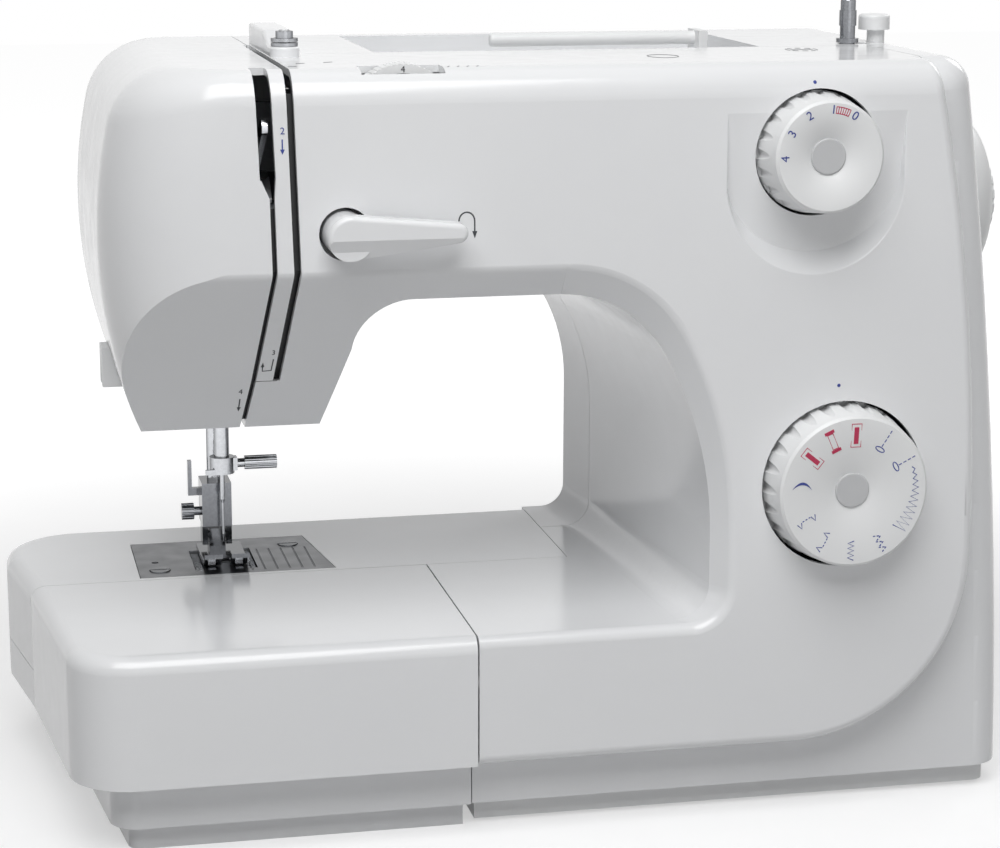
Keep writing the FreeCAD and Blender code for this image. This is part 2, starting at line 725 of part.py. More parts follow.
def box_plan(inset, x_right, y_rear, z0, z1):
    """The accessory box seen from above; its front and left sides move in by inset."""
    front = FRONT + inset
    lean = (BOX_REAR_LEFT - BOX_FRONT_LEFT) / (ARM_FRONT - FRONT)
    front_left = BOX_FRONT_LEFT + inset
    rear_left = front_left + lean * (y_rear - front)
    outline = [(x_right, front), (front_left, front), (rear_left, y_rear), (x_right, y_rear)]
    solid = xy_prism(outline, z0, z1)

    def is_corner(b):
        return b.ZLength > z1 - z0 - 0.1 and b.YMax < front + 0.1 and b.XMax < 0.5 * front_left

    return solid.makeFillet(max(BOX_CORNER_R - inset, 3.0), edges_where(solid, is_corner))


def build_box():
    right = -BOX_GAP
    rear = ARM_FRONT - SLIDE_GAP
    body = box_plan(0, right, rear, BAND_TOP, BED_TOP)

    def is_rim(b):
        return b.ZMin > BED_TOP - 0.1 and b.XMin < right - 1 and b.YMin < rear - 1

    body = body.makeFillet(BOX_EDGE_R, edges_where(body, is_rim))
    band = box_plan(BOX_BAND_INSET, right, rear, PLINTH_TOP, BAND_TOP)
    plinth_right = right - BOX_PLINTH_SHORT
    plinth_rear = rear - BOX_PLINTH_SHORT
    plinth = box_plan(BOX_PLINTH_INSET, plinth_right, plinth_rear, 0, PLINTH_TOP)
    solid = union(body, band, plinth)
    room_top = BED_TOP - WALL
    upper = box_plan(WALL, right + REACH, rear + REACH, BAND_TOP + WALL, room_top)
    band_room = BOX_BAND_INSET + WALL
    middle = box_plan(band_room, right + REACH, rear + REACH, BOX_LOW_WALL, BAND_TOP + WALL + OVER)
    lower = box_plan(band_room, right - WALL, rear - WALL, PLINTH_TOP + BOX_FLOOR, BOX_LOW_WALL + OVER)
    under = box_plan(BOX_PLINTH_INSET + WALL, plinth_right - WALL, plinth_rear - WALL, -OVER, PLINTH_TOP)
    return cut(solid, upper, middle, lower, under)


def arm_form(inset, right):
    """The free arm's outside, or the room inside it, open towards the column."""
    front = ARM_FRONT + inset
    rear = REAR - inset
    left = BED_LEFT + inset
    low = ARM_BOTTOM + inset
    radius = ARM_CORNER_R - inset
    corner = V(left + radius * (1 - math.sqrt(0.5)), rear - radius * (1 - math.sqrt(0.5)), low)
    turn = V(left, rear - radius, low)
    back = V(left + radius, rear, low)
    side = V(left, ARM_SIDE_Y, low)
    front_left = V(BOX_REAR_LEFT + inset, front, low)
    front_right = V(right, front, low)
    rear_right = V(right, rear, low)
    edges = [
        Part.makeLine(front_right, front_left),
        Part.makeLine(front_left, side),
        Part.makeLine(side, turn),
        Part.Arc(turn, corner, back).toShape(),
        Part.makeLine(back, rear_right),
        Part.makeLine(rear_right, front_right),
    ]
    solid = prism(Part.Wire(edges), V(0, 0, BED_TOP - inset - low))

    def is_rim(b):
        along_front = b.YMax < front + 0.1
        along_right = b.XMin > right - 0.1
        return b.ZMin > BED_TOP - inset - 0.1 and not along_front and not along_right

    return solid.makeFillet(ARM_EDGE_R - inset, edges_where(solid, is_rim))


def plate_outline(grow):
    return [
        (PLATE_X0 - grow, PLATE_Y0 - grow),
        (PLATE_X1 + grow, PLATE_Y0 - grow),
        (PLATE_REAR_X1 + grow, PLATE_Y1 + grow),
        (PLATE_X0 - grow, PLATE_Y1 + grow),
    ]


def build_free_arm():
    shell = arm_form(0, ARM_RIGHT).cut(arm_form(WALL, ARM_RIGHT + REACH))
    plate_hole = xy_prism(plate_outline(SEAM), BED_TOP - WALL - OVER, BED_TOP + OVER)
    door_hole = box(DOOR_X0, DOOR_X1, ARM_FRONT - OVER, ARM_FRONT + WALL + OVER, DOOR_Z0, DOOR_Z1)
    pin_y = ARM_FRONT + DOOR_T / 2
    pin_x = DOOR_X0 - DOOR_PIN_OUT - TOUCH
    pin_length = DOOR_X1 + DOOR_PIN_OUT + TOUCH - pin_x
    pin_hole = rod(X_AXIS, pin_x, pin_y, DOOR_AXIS_Z, DOOR_PIN_R + RUN, pin_length)
    shell = cut(shell, plate_hole, door_hole, pin_hole)
    upper = shell.common(box(FAR_LEFT, ARM_RIGHT + OVER, 0, REAR + OVER, ARM_SPLIT, BED_TOP + OVER))
    lower = shell.common(box(FAR_LEFT, ARM_RIGHT + OVER, 0, REAR + OVER, 0, ARM_SPLIT - SEAM))
    return upper, lower


def build_door():
    leaf = box(
        DOOR_X0 + TOUCH,
        DOOR_X1 - TOUCH,
        ARM_FRONT,
        ARM_FRONT + DOOR_T,
        DOOR_Z0 + TOUCH + DOOR_SWING_GAP,
        DOOR_Z1 - TOUCH,
    )
    length = DOOR_X1 - DOOR_X0 + 2 * DOOR_PIN_OUT - 2 * TOUCH
    pin = rod(X_AXIS, DOOR_X0 - DOOR_PIN_OUT + TOUCH, ARM_FRONT + DOOR_T / 2, DOOR_AXIS_Z, DOOR_PIN_R, length)
    notch_x = (DOOR_X0 + DOOR_X1) / 2
    notch = rod(Y_AXIS, notch_x, ARM_FRONT - OVER, DOOR_Z1 - TOUCH, DOOR_NOTCH_R, DOOR_NOTCH_DEPTH + OVER)
    return union(leaf.cut(notch), pin)


# Base plate and feet
BASE_LEFT = 2.0
BASE_RIGHT = 209.5
BASE_REAR = 163.0
BASE_T = 3.0
BASE_RIM = 4.0
BASE_CORNER_R = 6.0
FLOOR_LEDGE = 6.0
FOOT_R = 8.0
FOOT_INSET = 16.0


def build_base():
    slab = box(BASE_LEFT, BASE_RIGHT, PLINTH_FRONT, BASE_REAR, FOOT_H, PLINTH_TOP)
    corners = edges_where(slab, lambda b: b.ZLength > 1 and b.XMin > BASE_LEFT + 1)
    slab = slab.makeFillet(BASE_CORNER_R, corners)
    room = box(
        BASE_LEFT + BASE_RIM,
        BASE_RIGHT - BASE_RIM,
        PLINTH_FRONT + BASE_RIM,
        BASE_REAR - BASE_RIM,
        FOOT_H + BASE_T,
        PLINTH_TOP + OVER,
    )
    return slab.cut(room)


def build_feet():
    feet = []
    for x in (BASE_LEFT + FOOT_INSET, BASE_RIGHT - FOOT_INSET):
        for y in (PLINTH_FRONT + FOOT_INSET, BASE_REAR - FOOT_INSET):
            feet.append(rod(Z_AXIS, x, y, 0, FOOT_R, FOOT_H))
    return Part.makeCompound(feet)


# Frame casting
PLATE_FRONT = 134.0
PLATE_REAR = 140.0
ARM_PLATE_LEFT = -112.0
ARM_PLATE_RIGHT = 164.0
ARM_PLATE_BELOW = 15.0
ARM_PLATE_ABOVE = 42.0
ARM_PLATE_LOW = SHAFT_Z - ARM_PLATE_BELOW
ARM_PLATE_HIGH = SHAFT_Z + ARM_PLATE_ABOVE
POST_LEFT = 100.0
POST_RIGHT = 116.0
POST_REAR = 152.0
BEAM_LEFT = -150.0
BEAM_REAR = 156.0
BEAM_LOW = 34.0
BEAM_HIGH = 72.0
FRAME_FLOOR = FOOT_H + BASE_T
WEBS = ((-56.0, -48.0), (110.0, 118.0), (154.0, 162.0))
WEB_FRONT = 92.0
BUSH_R = 9.0
BUSH_OUT = 1.0
BAR_R = 3.0
GUIDE_X0 = -92.0
GUIDE_X1 = -74.5
GUIDE_Y0 = 96.0
LOW_GUIDE_Z = (154.0, 164.0)
HIGH_GUIDE_Z = (244.0, 252.0)
RIB_RIGHT = -99.0
RIB_FRONT = 122.0
PAD_RIGHT = 190.0
PAD_FRONT = 70.0
PAD_TOP = 14.0
LIFT_BOSS_FRONT = 110.0
LIFT_BOSS_HALF = 10.0
WEB_HALF = 14.0
LAMP_ARM_T = 8.0
LAMP_ARM_Z0 = 196.0
LAMP_ARM_Z1 = 206.0
LAMP_HOLDER_HALF = 7.5
LAMP_HOLDER_REAR = 92.0
REST_LEFT_X0 = -112.0
REST_LEFT_X1 = -101.0
REST_LEFT_FRONT = 92.0
REST_LEFT_LOW = 60.0
REST_RIGHT_X0 = -56.0
REST_RIGHT_X1 = -46.0
REST_RIGHT_FRONT = 112.0
REST_RIGHT_REAR = 138.5
REST_RIGHT_LOW = 71.0
CONTROL_ARM_X0 = 120.0
CONTROL_ARM_X1 = 132.0
CONTROL_ARM_Z0 = 198.0
CONTROL_ARM_Z1 = 210.0
CRADLE_IN = 4.0
CRADLE_HALF = 12.0
CRADLE_TOP = 36.0
TAKE_UP_ARM_FRONT = 52.0
TAKE_UP_ARM_BELOW = 6.0
TAKE_UP_ARM_ABOVE = 8.0
TAKE_UP_Y = 60.0
TAKE_UP_ABOVE_SHAFT = 8.0
TAKE_UP_Z = SHAFT_Z + TAKE_UP_ABOVE_SHAFT
TAKE_UP_PIN_R = 3.0
LIFT_Y = 116.0
LIFT_Z = 190.0
LIFT_PIN_R = 3.0
LIFTER_NOTCH_H = 4.0
LAMP_X = -106.0
LAMP_Y = 84.5
PLATE_SCREW_LEFT = (-106.5, 97.0)
PLATE_SCREW_RIGHT = (-51.0, 127.0)
PLATE_SCREW_R = 2.0
PLATE_HEAD_R = 4.0
PLATE_HEAD_DEEP = 1.2
PLATE_HEAD_OUT = 0.4
PLATE_SCREW_DEEP = 8.0
PLATE_SCREW_HOLE = 10.0
DRIVER_SLOT = 1.0

# Hook drive under the plate
HOOK_SHAFT_R = 4.0
GEAR_R = 15.0
PINION_R = 10.0
GEAR_X = NEEDLE_X + PINION_R + GEAR_R
TOOTH = 0.8
GEAR_Y = 112.0
GEAR_W = 6.0
GEAR_TEETH = 36
PINION_TEETH = 24
GEAR_SHAFT_FRONT = 108.0

# Tooth sizes as shares of the module, and half widths as shares of the pitch
TOOTH_ABOVE = 0.7
TOOTH_BELOW = 1.3
TOOTH_ROOTED = 1.6
TOOTH_TIP_HALF = 0.14
TOOTH_ROOT_HALF = 0.30

# Motor
MOTOR_X0 = 100.0
MOTOR_X1 = 158.0
MOTOR_Z = 58.0
MOTOR_R = 26.0
MOTOR_SHAFT_R = 3.0
PULLEY_X0 = 168.0
PULLEY_X1 = 180.0
BELT_X0 = 170.0
BELT_X1 = 178.0
SHAFT_GROOVE_R = 20.0
MOTOR_GROOVE_R = 8.0
PULLEY_FLANGE = 2.6
BELT_T = 1.6
MOTOR_BOSS = 4.0
MOTOR_BOSS_R = 10.0
MOTOR_BORE = 11.0


def build_frame():
    """The casting that carries every shaft, bar and plate."""
    lift_low = LIFT_Z - LIFT_BOSS_HALF
    lift_high = LIFT_Z + LIFT_BOSS_HALF
    lamp_arm_x1 = ARM_PLATE_LEFT + LAMP_ARM_T
    lamp_arm_y0 = LAMP_HOLDER_REAR - OVER
    rest_top = BED_TOP - PLATE_T
    take_up_start = TAKE_UP_HUB_X0
    take_up_low = TAKE_UP_Z - TAKE_UP_ARM_BELOW
    take_up_high = TAKE_UP_Z + TAKE_UP_ARM_ABOVE
    parts = [
        box(ARM_PLATE_LEFT, ARM_PLATE_RIGHT, PLATE_FRONT, PLATE_REAR, ARM_PLATE_LOW, ARM_PLATE_HIGH),
        box(POST_LEFT, POST_RIGHT, PLATE_FRONT, POST_REAR, FRAME_FLOOR, ARM_PLATE_HIGH),
        box(BEAM_LEFT, POST_RIGHT, PLATE_FRONT, BEAM_REAR, BEAM_LOW, BEAM_HIGH),
        box(POST_LEFT, PAD_RIGHT, PAD_FRONT, POST_REAR, FRAME_FLOOR, PAD_TOP),
        box(ARM_PLATE_LEFT, RIB_RIGHT, RIB_FRONT, PLATE_REAR, LOW_GUIDE_Z[0], ARM_PLATE_HIGH),
        box(ARM_PLATE_LEFT, RIB_RIGHT, LIFT_BOSS_FRONT, PLATE_REAR, lift_low, lift_high),
        box(ARM_PLATE_LEFT, GUIDE_X0 + OVER, RIB_FRONT, PLATE_FRONT, *LOW_GUIDE_Z),
        box(GUIDE_X0, GUIDE_X1, GUIDE_Y0, PLATE_FRONT, *LOW_GUIDE_Z),
        box(GUIDE_X0, GUIDE_X1, GUIDE_Y0, PLATE_FRONT, *HIGH_GUIDE_Z),
        box(ARM_PLATE_LEFT, lamp_arm_x1, lamp_arm_y0, RIB_FRONT + OVER, LAMP_ARM_Z0, LAMP_ARM_Z1),
        box(
            LAMP_X - LAMP_HOLDER_HALF,
            LAMP_X + LAMP_HOLDER_HALF,
            LAMP_Y - LAMP_HOLDER_HALF,
            LAMP_HOLDER_REAR,
            LAMP_HOLDER_Z0,
            LAMP_HOLDER_Z1,
        ),
        box(REST_LEFT_X0, REST_LEFT_X1, REST_LEFT_FRONT, PLATE_FRONT + OVER, REST_LEFT_LOW, rest_top),
        box(REST_RIGHT_X0, REST_RIGHT_X1, REST_RIGHT_FRONT, REST_RIGHT_REAR, REST_RIGHT_LOW, rest_top),
        box(CONTROL_ARM_X0, CONTROL_ARM_X1, CONTROL_REAR, PLATE_FRONT, CONTROL_ARM_Z0, CONTROL_ARM_Z1),
        box(
            MOTOR_X0 + CRADLE_IN,
            MOTOR_X1 - CRADLE_IN,
            SHAFT_Y - CRADLE_HALF,
            SHAFT_Y + CRADLE_HALF,
            PAD_TOP - OVER,
            CRADLE_TOP,
        ),
        rod(X_AXIS, take_up_start, TAKE_UP_Y, TAKE_UP_Z, TAKE_UP_PIN_R, WEBS[0][0] + OVER - take_up_start),
        rod(X_AXIS, RIB_RIGHT - OVER, LIFT_Y, LIFT_Z, LIFT_PIN_R, LIFTER_X1 - RIB_RIGHT + 2 * OVER),
        box(*WEBS[0], TAKE_UP_ARM_FRONT, WEB_FRONT + OVER, take_up_low, take_up_high),
    ]
    for x0, x1 in WEBS:
        parts.append(box(x0, x1, WEB_FRONT, PLATE_FRONT, SHAFT_Z - WEB_HALF, SHAFT_Z + WEB_HALF))
    solid = union(*parts)
    bar_length = HIGH_GUIDE_Z[1] - LOW_GUIDE_Z[0] + 2 * OVER
    shaft_length = BEAM_REAR - GEAR_Y
    holes = [
        rod(X_AXIS, MOTOR_X0, SHAFT_Y, MOTOR_Z, MOTOR_R + TOUCH, MOTOR_X1 - MOTOR_X0),
        rod(Y_AXIS, NEEDLE_X, GEAR_Y, HOOK_Z, HOOK_SHAFT_R + RUN, shaft_length),
        rod(Y_AXIS, GEAR_X, GEAR_Y, HOOK_Z, HOOK_SHAFT_R + RUN, shaft_length),
        rod(Z_AXIS, NEEDLE_X, NEEDLE_Y, LOW_GUIDE_Z[0] - OVER, BAR_R + RUN, bar_length),
        rod(Z_AXIS, PRESSER_X, PRESSER_Y, LOW_GUIDE_Z[0] - OVER, BAR_R + RUN, bar_length),
        rod(Z_AXIS, LAMP_X, LAMP_Y, LAMP_HOLDER_Z0 - OVER, BULB_CAP_R + RUN, BULB_CAP_H + 2 * OVER),
        box(
            LIFTER_X0 - LIFTER_SLOT_GAP,
            LIFTER_X1 + LIFTER_SLOT_GAP,
            PLATE_FRONT - OVER,
            PLATE_REAR + OVER,
            ARM_PLATE_LOW - OVER,
            ARM_PLATE_LOW + LIFTER_NOTCH_H,
        ),
    ]
    for x0, x1 in WEBS:
        holes.append(rod(X_AXIS, x0 - OVER, SHAFT_Y, SHAFT_Z, BUSH_R + RUN, x1 - x0 + 2 * OVER))
    for x, y in (PLATE_SCREW_LEFT, PLATE_SCREW_RIGHT):
        holes.append(rod(Z_AXIS, x, y, BED_TOP - PLATE_SCREW_HOLE, PLATE_SCREW_R + TOUCH, PLATE_SCREW_HOLE))
    return cut(solid, *holes)


def build_bushes():
    rings = []
    for x0, x1 in WEBS:
        length = x1 - x0 + 2 * BUSH_OUT
        rings.append(ring(X_AXIS, x0 - BUSH_OUT, SHAFT_Y, SHAFT_Z, BUSH_R, SHAFT_R + RUN, length))
    return Part.makeCompound(rings)


# Plate that carries the dial shafts behind the front cover
CONTROL_FRONT = 24.0
CONTROL_REAR = 27.0
CONTROL_X0 = 98.0
CONTROL_X1 = 172.0
CONTROL_Z0 = 98.0
CONTROL_Z1 = 276.0
DIAL_SHAFT_R = 4.0


def build_control_plate():
    plate = box(CONTROL_X0, CONTROL_X1, CONTROL_FRONT, CONTROL_REAR, CONTROL_Z0, CONTROL_Z1)
    holes = []
    for x, z in ((UPPER_DIAL_X, UPPER_DIAL_Z), (LOWER_DIAL_X, LOWER_DIAL_Z)):
        holes.append(rod(Y_AXIS, x, CONTROL_FRONT - OVER, z, DIAL_SHAFT_R + RUN, REACH))
    return cut(plate, *holes)


# Needle bar and its drive
CRANK_R = 18.0
CRANK_X0 = -66.0
CRANK_X1 = -60.0
CRANK_THROW = 14.0
CRANK_PIN_R = 3.0
CRANK_HOLE_R = 4.0
CRANK_HOLE_OUT = 10.0
CRANK_HOLE_UP = 4.0
LINK_X0 = -72.5
LINK_X1 = -69.5
LINK_LENGTH = 26.0
LINK_END_R = 5.0
LINK_FOOT_R = 4.5
COLLAR_HALF_X = 5.0
COLLAR_HALF_Y = 5.5
COLLAR_HALF_Z = 6.0
NEEDLE_BAR_LOW = 116.5
NEEDLE_BAR_HIGH = 281.0
BAR_CHAMFER = 0.5
CLAMP_R = 5.0
CLAMP_LUG = 6.0
CLAMP_LUG_HALF = 2.6
CLAMP_WIRE_OUT = 7.0
CLAMP_WIRE_Y0 = 100.0
CLAMP_WIRE_Y1 = 101.4
CLAMP_WIRE_H = 2.0
CLAMP_Z0 = NEEDLE_BAR_LOW
CLAMP_Z1 = 123.2
CLAMP_SCREW_Z = 120.2
CLAMP_SCREW_END = -58.0
NEEDLE_TIP = 88.0
NEEDLE_R = 0.5
NEEDLE_POINT_R = 0.1
NEEDLE_POINT_H = 3.0
SHANK_R = 1.0
SHANK_H = 11.0
SHANK_TAPER = 1.5
CRANK_TOP = SHAFT_Z + CRANK_THROW
COLLAR_Z = CRANK_TOP - LINK_LENGTH


def tapered_bar(axis_x0, axis_x1, ya, za, ra, yb, zb, rb):
    """A flat link in the side view: two round ends joined by their outer tangents."""
    length = axis_x1 - axis_x0
    distance = math.hypot(yb - ya, zb - za)
    along = math.atan2(zb - za, yb - ya)
    lean = math.acos((ra - rb) / distance)
    outline = []
    for y, z, r, turn in ((ya, za, ra, lean), (yb, zb, rb, lean), (yb, zb, rb, -lean), (ya, za, ra, -lean)):
        outline.append((y + r * math.cos(along + turn), z + r * math.sin(along + turn)))
    ends = [rod(X_AXIS, axis_x0, ya, za, ra, length), rod(X_AXIS, axis_x0, yb, zb, rb, length)]
    return union(yz_prism(outline, axis_x0, axis_x1), *ends)


def build_crankshaft():
    shaft = rod(X_AXIS, CRANK_X1, SHAFT_Y, SHAFT_Z, SHAFT_R, SHAFT_X1 - CRANK_X1)
    disc = rod(X_AXIS, CRANK_X0, SHAFT_Y, SHAFT_Z, CRANK_R, CRANK_X1 - CRANK_X0)
    pin_start = LINK_X1 + TOUCH
    pin = rod(X_AXIS, pin_start, SHAFT_Y, CRANK_TOP, CRANK_PIN_R, CRANK_X0 - pin_start + OVER)
    holes = []
    for y in (SHAFT_Y - CRANK_HOLE_OUT, SHAFT_Y + CRANK_HOLE_OUT):
        through = CRANK_X1 - CRANK_X0 + 2 * OVER
        holes.append(rod(X_AXIS, CRANK_X0 - OVER, y, SHAFT_Z + CRANK_HOLE_UP, CRANK_HOLE_R, through))
    return cut(union(disc, pin, shaft), *holes)


def build_link():
    link = tapered_bar(LINK_X0, LINK_X1, SHAFT_Y, CRANK_TOP, LINK_END_R, NEEDLE_Y, COLLAR_Z, LINK_FOOT_R)
    low = COLLAR_Z - COLLAR_HALF_Z
    high = COLLAR_Z + COLLAR_HALF_Z
    front = NEEDLE_Y - COLLAR_HALF_Y
    rear = NEEDLE_Y + COLLAR_HALF_Y
    block = box(NEEDLE_X - COLLAR_HALF_X, LINK_X0, front, rear, low, high)
    bore = rod(Z_AXIS, NEEDLE_X, NEEDLE_Y, low - OVER, BAR_R + RUN, high - low + 2 * OVER)
    return union(link, block).cut(bore)


def build_needle_bar():
    bar = rod(Z_AXIS, NEEDLE_X, NEEDLE_Y, NEEDLE_BAR_LOW, BAR_R, NEEDLE_BAR_HIGH - NEEDLE_BAR_LOW)
    return bar.makeChamfer(BAR_CHAMFER, edges_where(bar, lambda b: b.ZLength < 0.1))


def build_needle_clamp():
    height = CLAMP_Z1 - CLAMP_Z0
    body = rod(Z_AXIS, NEEDLE_X, NEEDLE_Y, CLAMP_Z0, CLAMP_R, height)
    lug = box(
        NEEDLE_X,
        NEEDLE_X + CLAMP_LUG,
        NEEDLE_Y - CLAMP_LUG_HALF,
        NEEDLE_Y + CLAMP_LUG_HALF,
        CLAMP_SCREW_Z - CLAMP_LUG_HALF,
        CLAMP_SCREW_Z + CLAMP_LUG_HALF,
    )
    wire_left = NEEDLE_X - CLAMP_WIRE_OUT
    guide = box(wire_left, NEEDLE_X, CLAMP_WIRE_Y0, CLAMP_WIRE_Y1, CLAMP_Z0, CLAMP_Z0 + CLAMP_WIRE_H)
    bore = rod(Z_AXIS, NEEDLE_X, NEEDLE_Y, CLAMP_Z0 - OVER, BAR_R + RUN, height + 2 * OVER)
    return union(body, lug, guide).cut(bore)


THUMB_FLUTES = 12
THUMB_FLUTE_R = 0.5
THUMB_STEM_R = 1.8
THUMB_NECK = 3.0
CLAMP_SCREW_R = 2.8
FLUTE_SINK = 0.45


def fluted(axis, x, y, z, radius, length, count, flute_r):
    """A round grip along X or Y with even flutes along its length."""
    body = rod(axis, x, y, z, radius, length)
    flutes = []
    for index in range(count):
        angle = 2 * math.pi * index / count
        reach = radius + (1 - FLUTE_SINK) * flute_r
        a = reach * math.cos(angle)
        b = reach * math.sin(angle)
        if axis is X_AXIS:
            flutes.append(rod(axis, x - OVER, y + a, z + b, flute_r, length + 2 * OVER))
        else:
            flutes.append(rod(axis, x + a, y - OVER, z + b, flute_r, length + 2 * OVER))
    return cut(body, *flutes)


def build_clamp_screw():
    start = NEEDLE_X + CLAMP_LUG
    face = start + THUMB_NECK
    length = CLAMP_SCREW_END - face
    head = fluted(X_AXIS, face, NEEDLE_Y, CLAMP_SCREW_Z, CLAMP_SCREW_R, length, THUMB_FLUTES, THUMB_FLUTE_R)
    return union(head, rod(X_AXIS, start, NEEDLE_Y, CLAMP_SCREW_Z, THUMB_STEM_R, THUMB_NECK + OVER))


def build_needle():
    shank_low = NEEDLE_BAR_LOW - SHANK_H
    blade_low = NEEDLE_TIP + NEEDLE_POINT_H
    shank = rod(Z_AXIS, NEEDLE_X, NEEDLE_Y, shank_low, SHANK_R, SHANK_H)
    neck = Part.makeCone(NEEDLE_R, SHANK_R, SHANK_TAPER, V(NEEDLE_X, NEEDLE_Y, shank_low - SHANK_TAPER))
    blade = rod(Z_AXIS, NEEDLE_X, NEEDLE_Y, blade_low, NEEDLE_R, shank_low - SHANK_TAPER - blade_low)
    tip = Part.makeCone(NEEDLE_POINT_R, NEEDLE_R, NEEDLE_POINT_H, V(NEEDLE_X, NEEDLE_Y, NEEDLE_TIP))
    return union(shank, neck, blade, tip)


# Presser
PRESSER_LOW = 98.0
PRESSER_HIGH = 268.0
CAM_THROW = 8.0
CAM_R = 9.0
CAM_START = math.radians(-22)
LIFT_BLOCK_Z0 = LIFT_Z + CAM_THROW * math.sin(CAM_START) + CAM_R + TOUCH
LIFT_BLOCK_H = 8.0
LIFT_BLOCK_RIGHT = 5.0
LIFT_BLOCK_Y0 = 112.0
LIFT_BLOCK_Y1 = 128.0
SPRING_R = 5.4
SPRING_BORE = 3.4
ANKLE_HALF = 6.0
ANKLE_X0 = PRESSER_X - ANKLE_HALF
ANKLE_X1 = PRESSER_X + ANKLE_HALF
ANKLE_Y0 = 112.5
ANKLE_Y1 = 127.0
ANKLE_Z0 = 92.0
ANKLE_Z1 = 110.0
FOOT_PIN_Y = 118.0
FOOT_PIN_Z = 87.5
FOOT_PIN_R = 1.5
EAR_T = 2.4
EAR_HALF = 4.0
EAR_LOW = 84.0
RELEASE_OUT = 4.5
RELEASE_W = 1.6
RELEASE_T = 3.0
RELEASE_LOW = 102.5
RELEASE_STEP = 3.0
RELEASE_HIGH = 117.0
FOOT_SCREW_Y = 118.0
FOOT_SCREW_Z = 97.5
FOOT_SCREW_R = 3.4
FOOT_SCREW_HEAD = 5.0
SOLE_REST = 0.6
SOLE_LOW = BED_TOP + SOLE_REST
SOLE_T = 1.8
SOLE_HALF = 9.0
SOLE_X0 = NEEDLE_X - SOLE_HALF
SOLE_X1 = NEEDLE_X + SOLE_HALF
SOLE_Y0 = 91.0
SOLE_Y1 = 127.0
TOE_RUN = 7.0
TOE_RISE = 4.4
TOE_SLOT_HALF = 1.8
FOOT_SLOT_HALF_X = 4.0
FOOT_SLOT_HALF_Y = 2.5
FOOT_LUG_HALF = 4.0
FOOT_LUG_TOP = 3.2
LIFTER_HUB_R = 6.0
LIFTER_ARM_R = 5.0
LIFTER_PAD_OUT = 5.0
LIFTER_END_Y = 184.0
LIFTER_END_Z = 166.0
LIFTER_END_R = 3.5


def build_presser_bar():
    bar = rod(Z_AXIS, PRESSER_X, PRESSER_Y, PRESSER_LOW, BAR_R, PRESSER_HIGH - PRESSER_LOW)
    right = PRESSER_X + LIFT_BLOCK_RIGHT
    high = LIFT_BLOCK_Z0 + LIFT_BLOCK_H
    lift_block = box(LIFTER_X0, right, LIFT_BLOCK_Y0, LIFT_BLOCK_Y1, LIFT_BLOCK_Z0, high)
    return union(bar, lift_block)


def build_presser_spring():
    low = LIFT_BLOCK_Z0 + LIFT_BLOCK_H
    return ring(Z_AXIS, PRESSER_X, PRESSER_Y, low, SPRING_R, SPRING_BORE, HIGH_GUIDE_Z[0] - TOUCH - low)


def build_ankle():
    block = box(ANKLE_X0, ANKLE_X1, ANKLE_Y0, ANKLE_Y1, ANKLE_Z0, ANKLE_Z1)
    ears = []
    for x in (ANKLE_X0, ANKLE_X1 - EAR_T):
        ears.append(box(x, x + EAR_T, FOOT_PIN_Y - EAR_HALF, FOOT_PIN_Y + EAR_HALF, EAR_LOW, ANKLE_Z0 + OVER))
    pin = rod(X_AXIS, ANKLE_X0 + OVER, FOOT_PIN_Y, FOOT_PIN_Z, FOOT_PIN_R, ANKLE_X1 - ANKLE_X0 - 2 * OVER)
    bore = rod(Z_AXIS, PRESSER_X, PRESSER_Y, PRESSER_LOW, BAR_R + RUN, ANKLE_Z1 - PRESSER_LOW + OVER)
    release_left = ANKLE_X0 - RELEASE_OUT
    release_y = ANKLE_Y1 - RELEASE_T
    step_top = RELEASE_LOW + RELEASE_STEP
    step = box(release_left, ANKLE_X0 + OVER, release_y, ANKLE_Y1, RELEASE_LOW, step_top)
    tab = box(release_left, release_left + RELEASE_W, release_y, ANKLE_Y1, RELEASE_LOW, RELEASE_HIGH)
    return union(block, pin, step, tab, *ears).cut(bore)


def build_foot_screw():
    neck = ANKLE_X0 - THUMB_NECK
    start = neck - FOOT_SCREW_HEAD
    head = fluted(
        X_AXIS, start, FOOT_SCREW_Y, FOOT_SCREW_Z, FOOT_SCREW_R, FOOT_SCREW_HEAD, THUMB_FLUTES, THUMB_FLUTE_R
    )
    return union(head, rod(X_AXIS, neck - OVER, FOOT_SCREW_Y, FOOT_SCREW_Z, THUMB_STEM_R, THUMB_NECK + OVER))


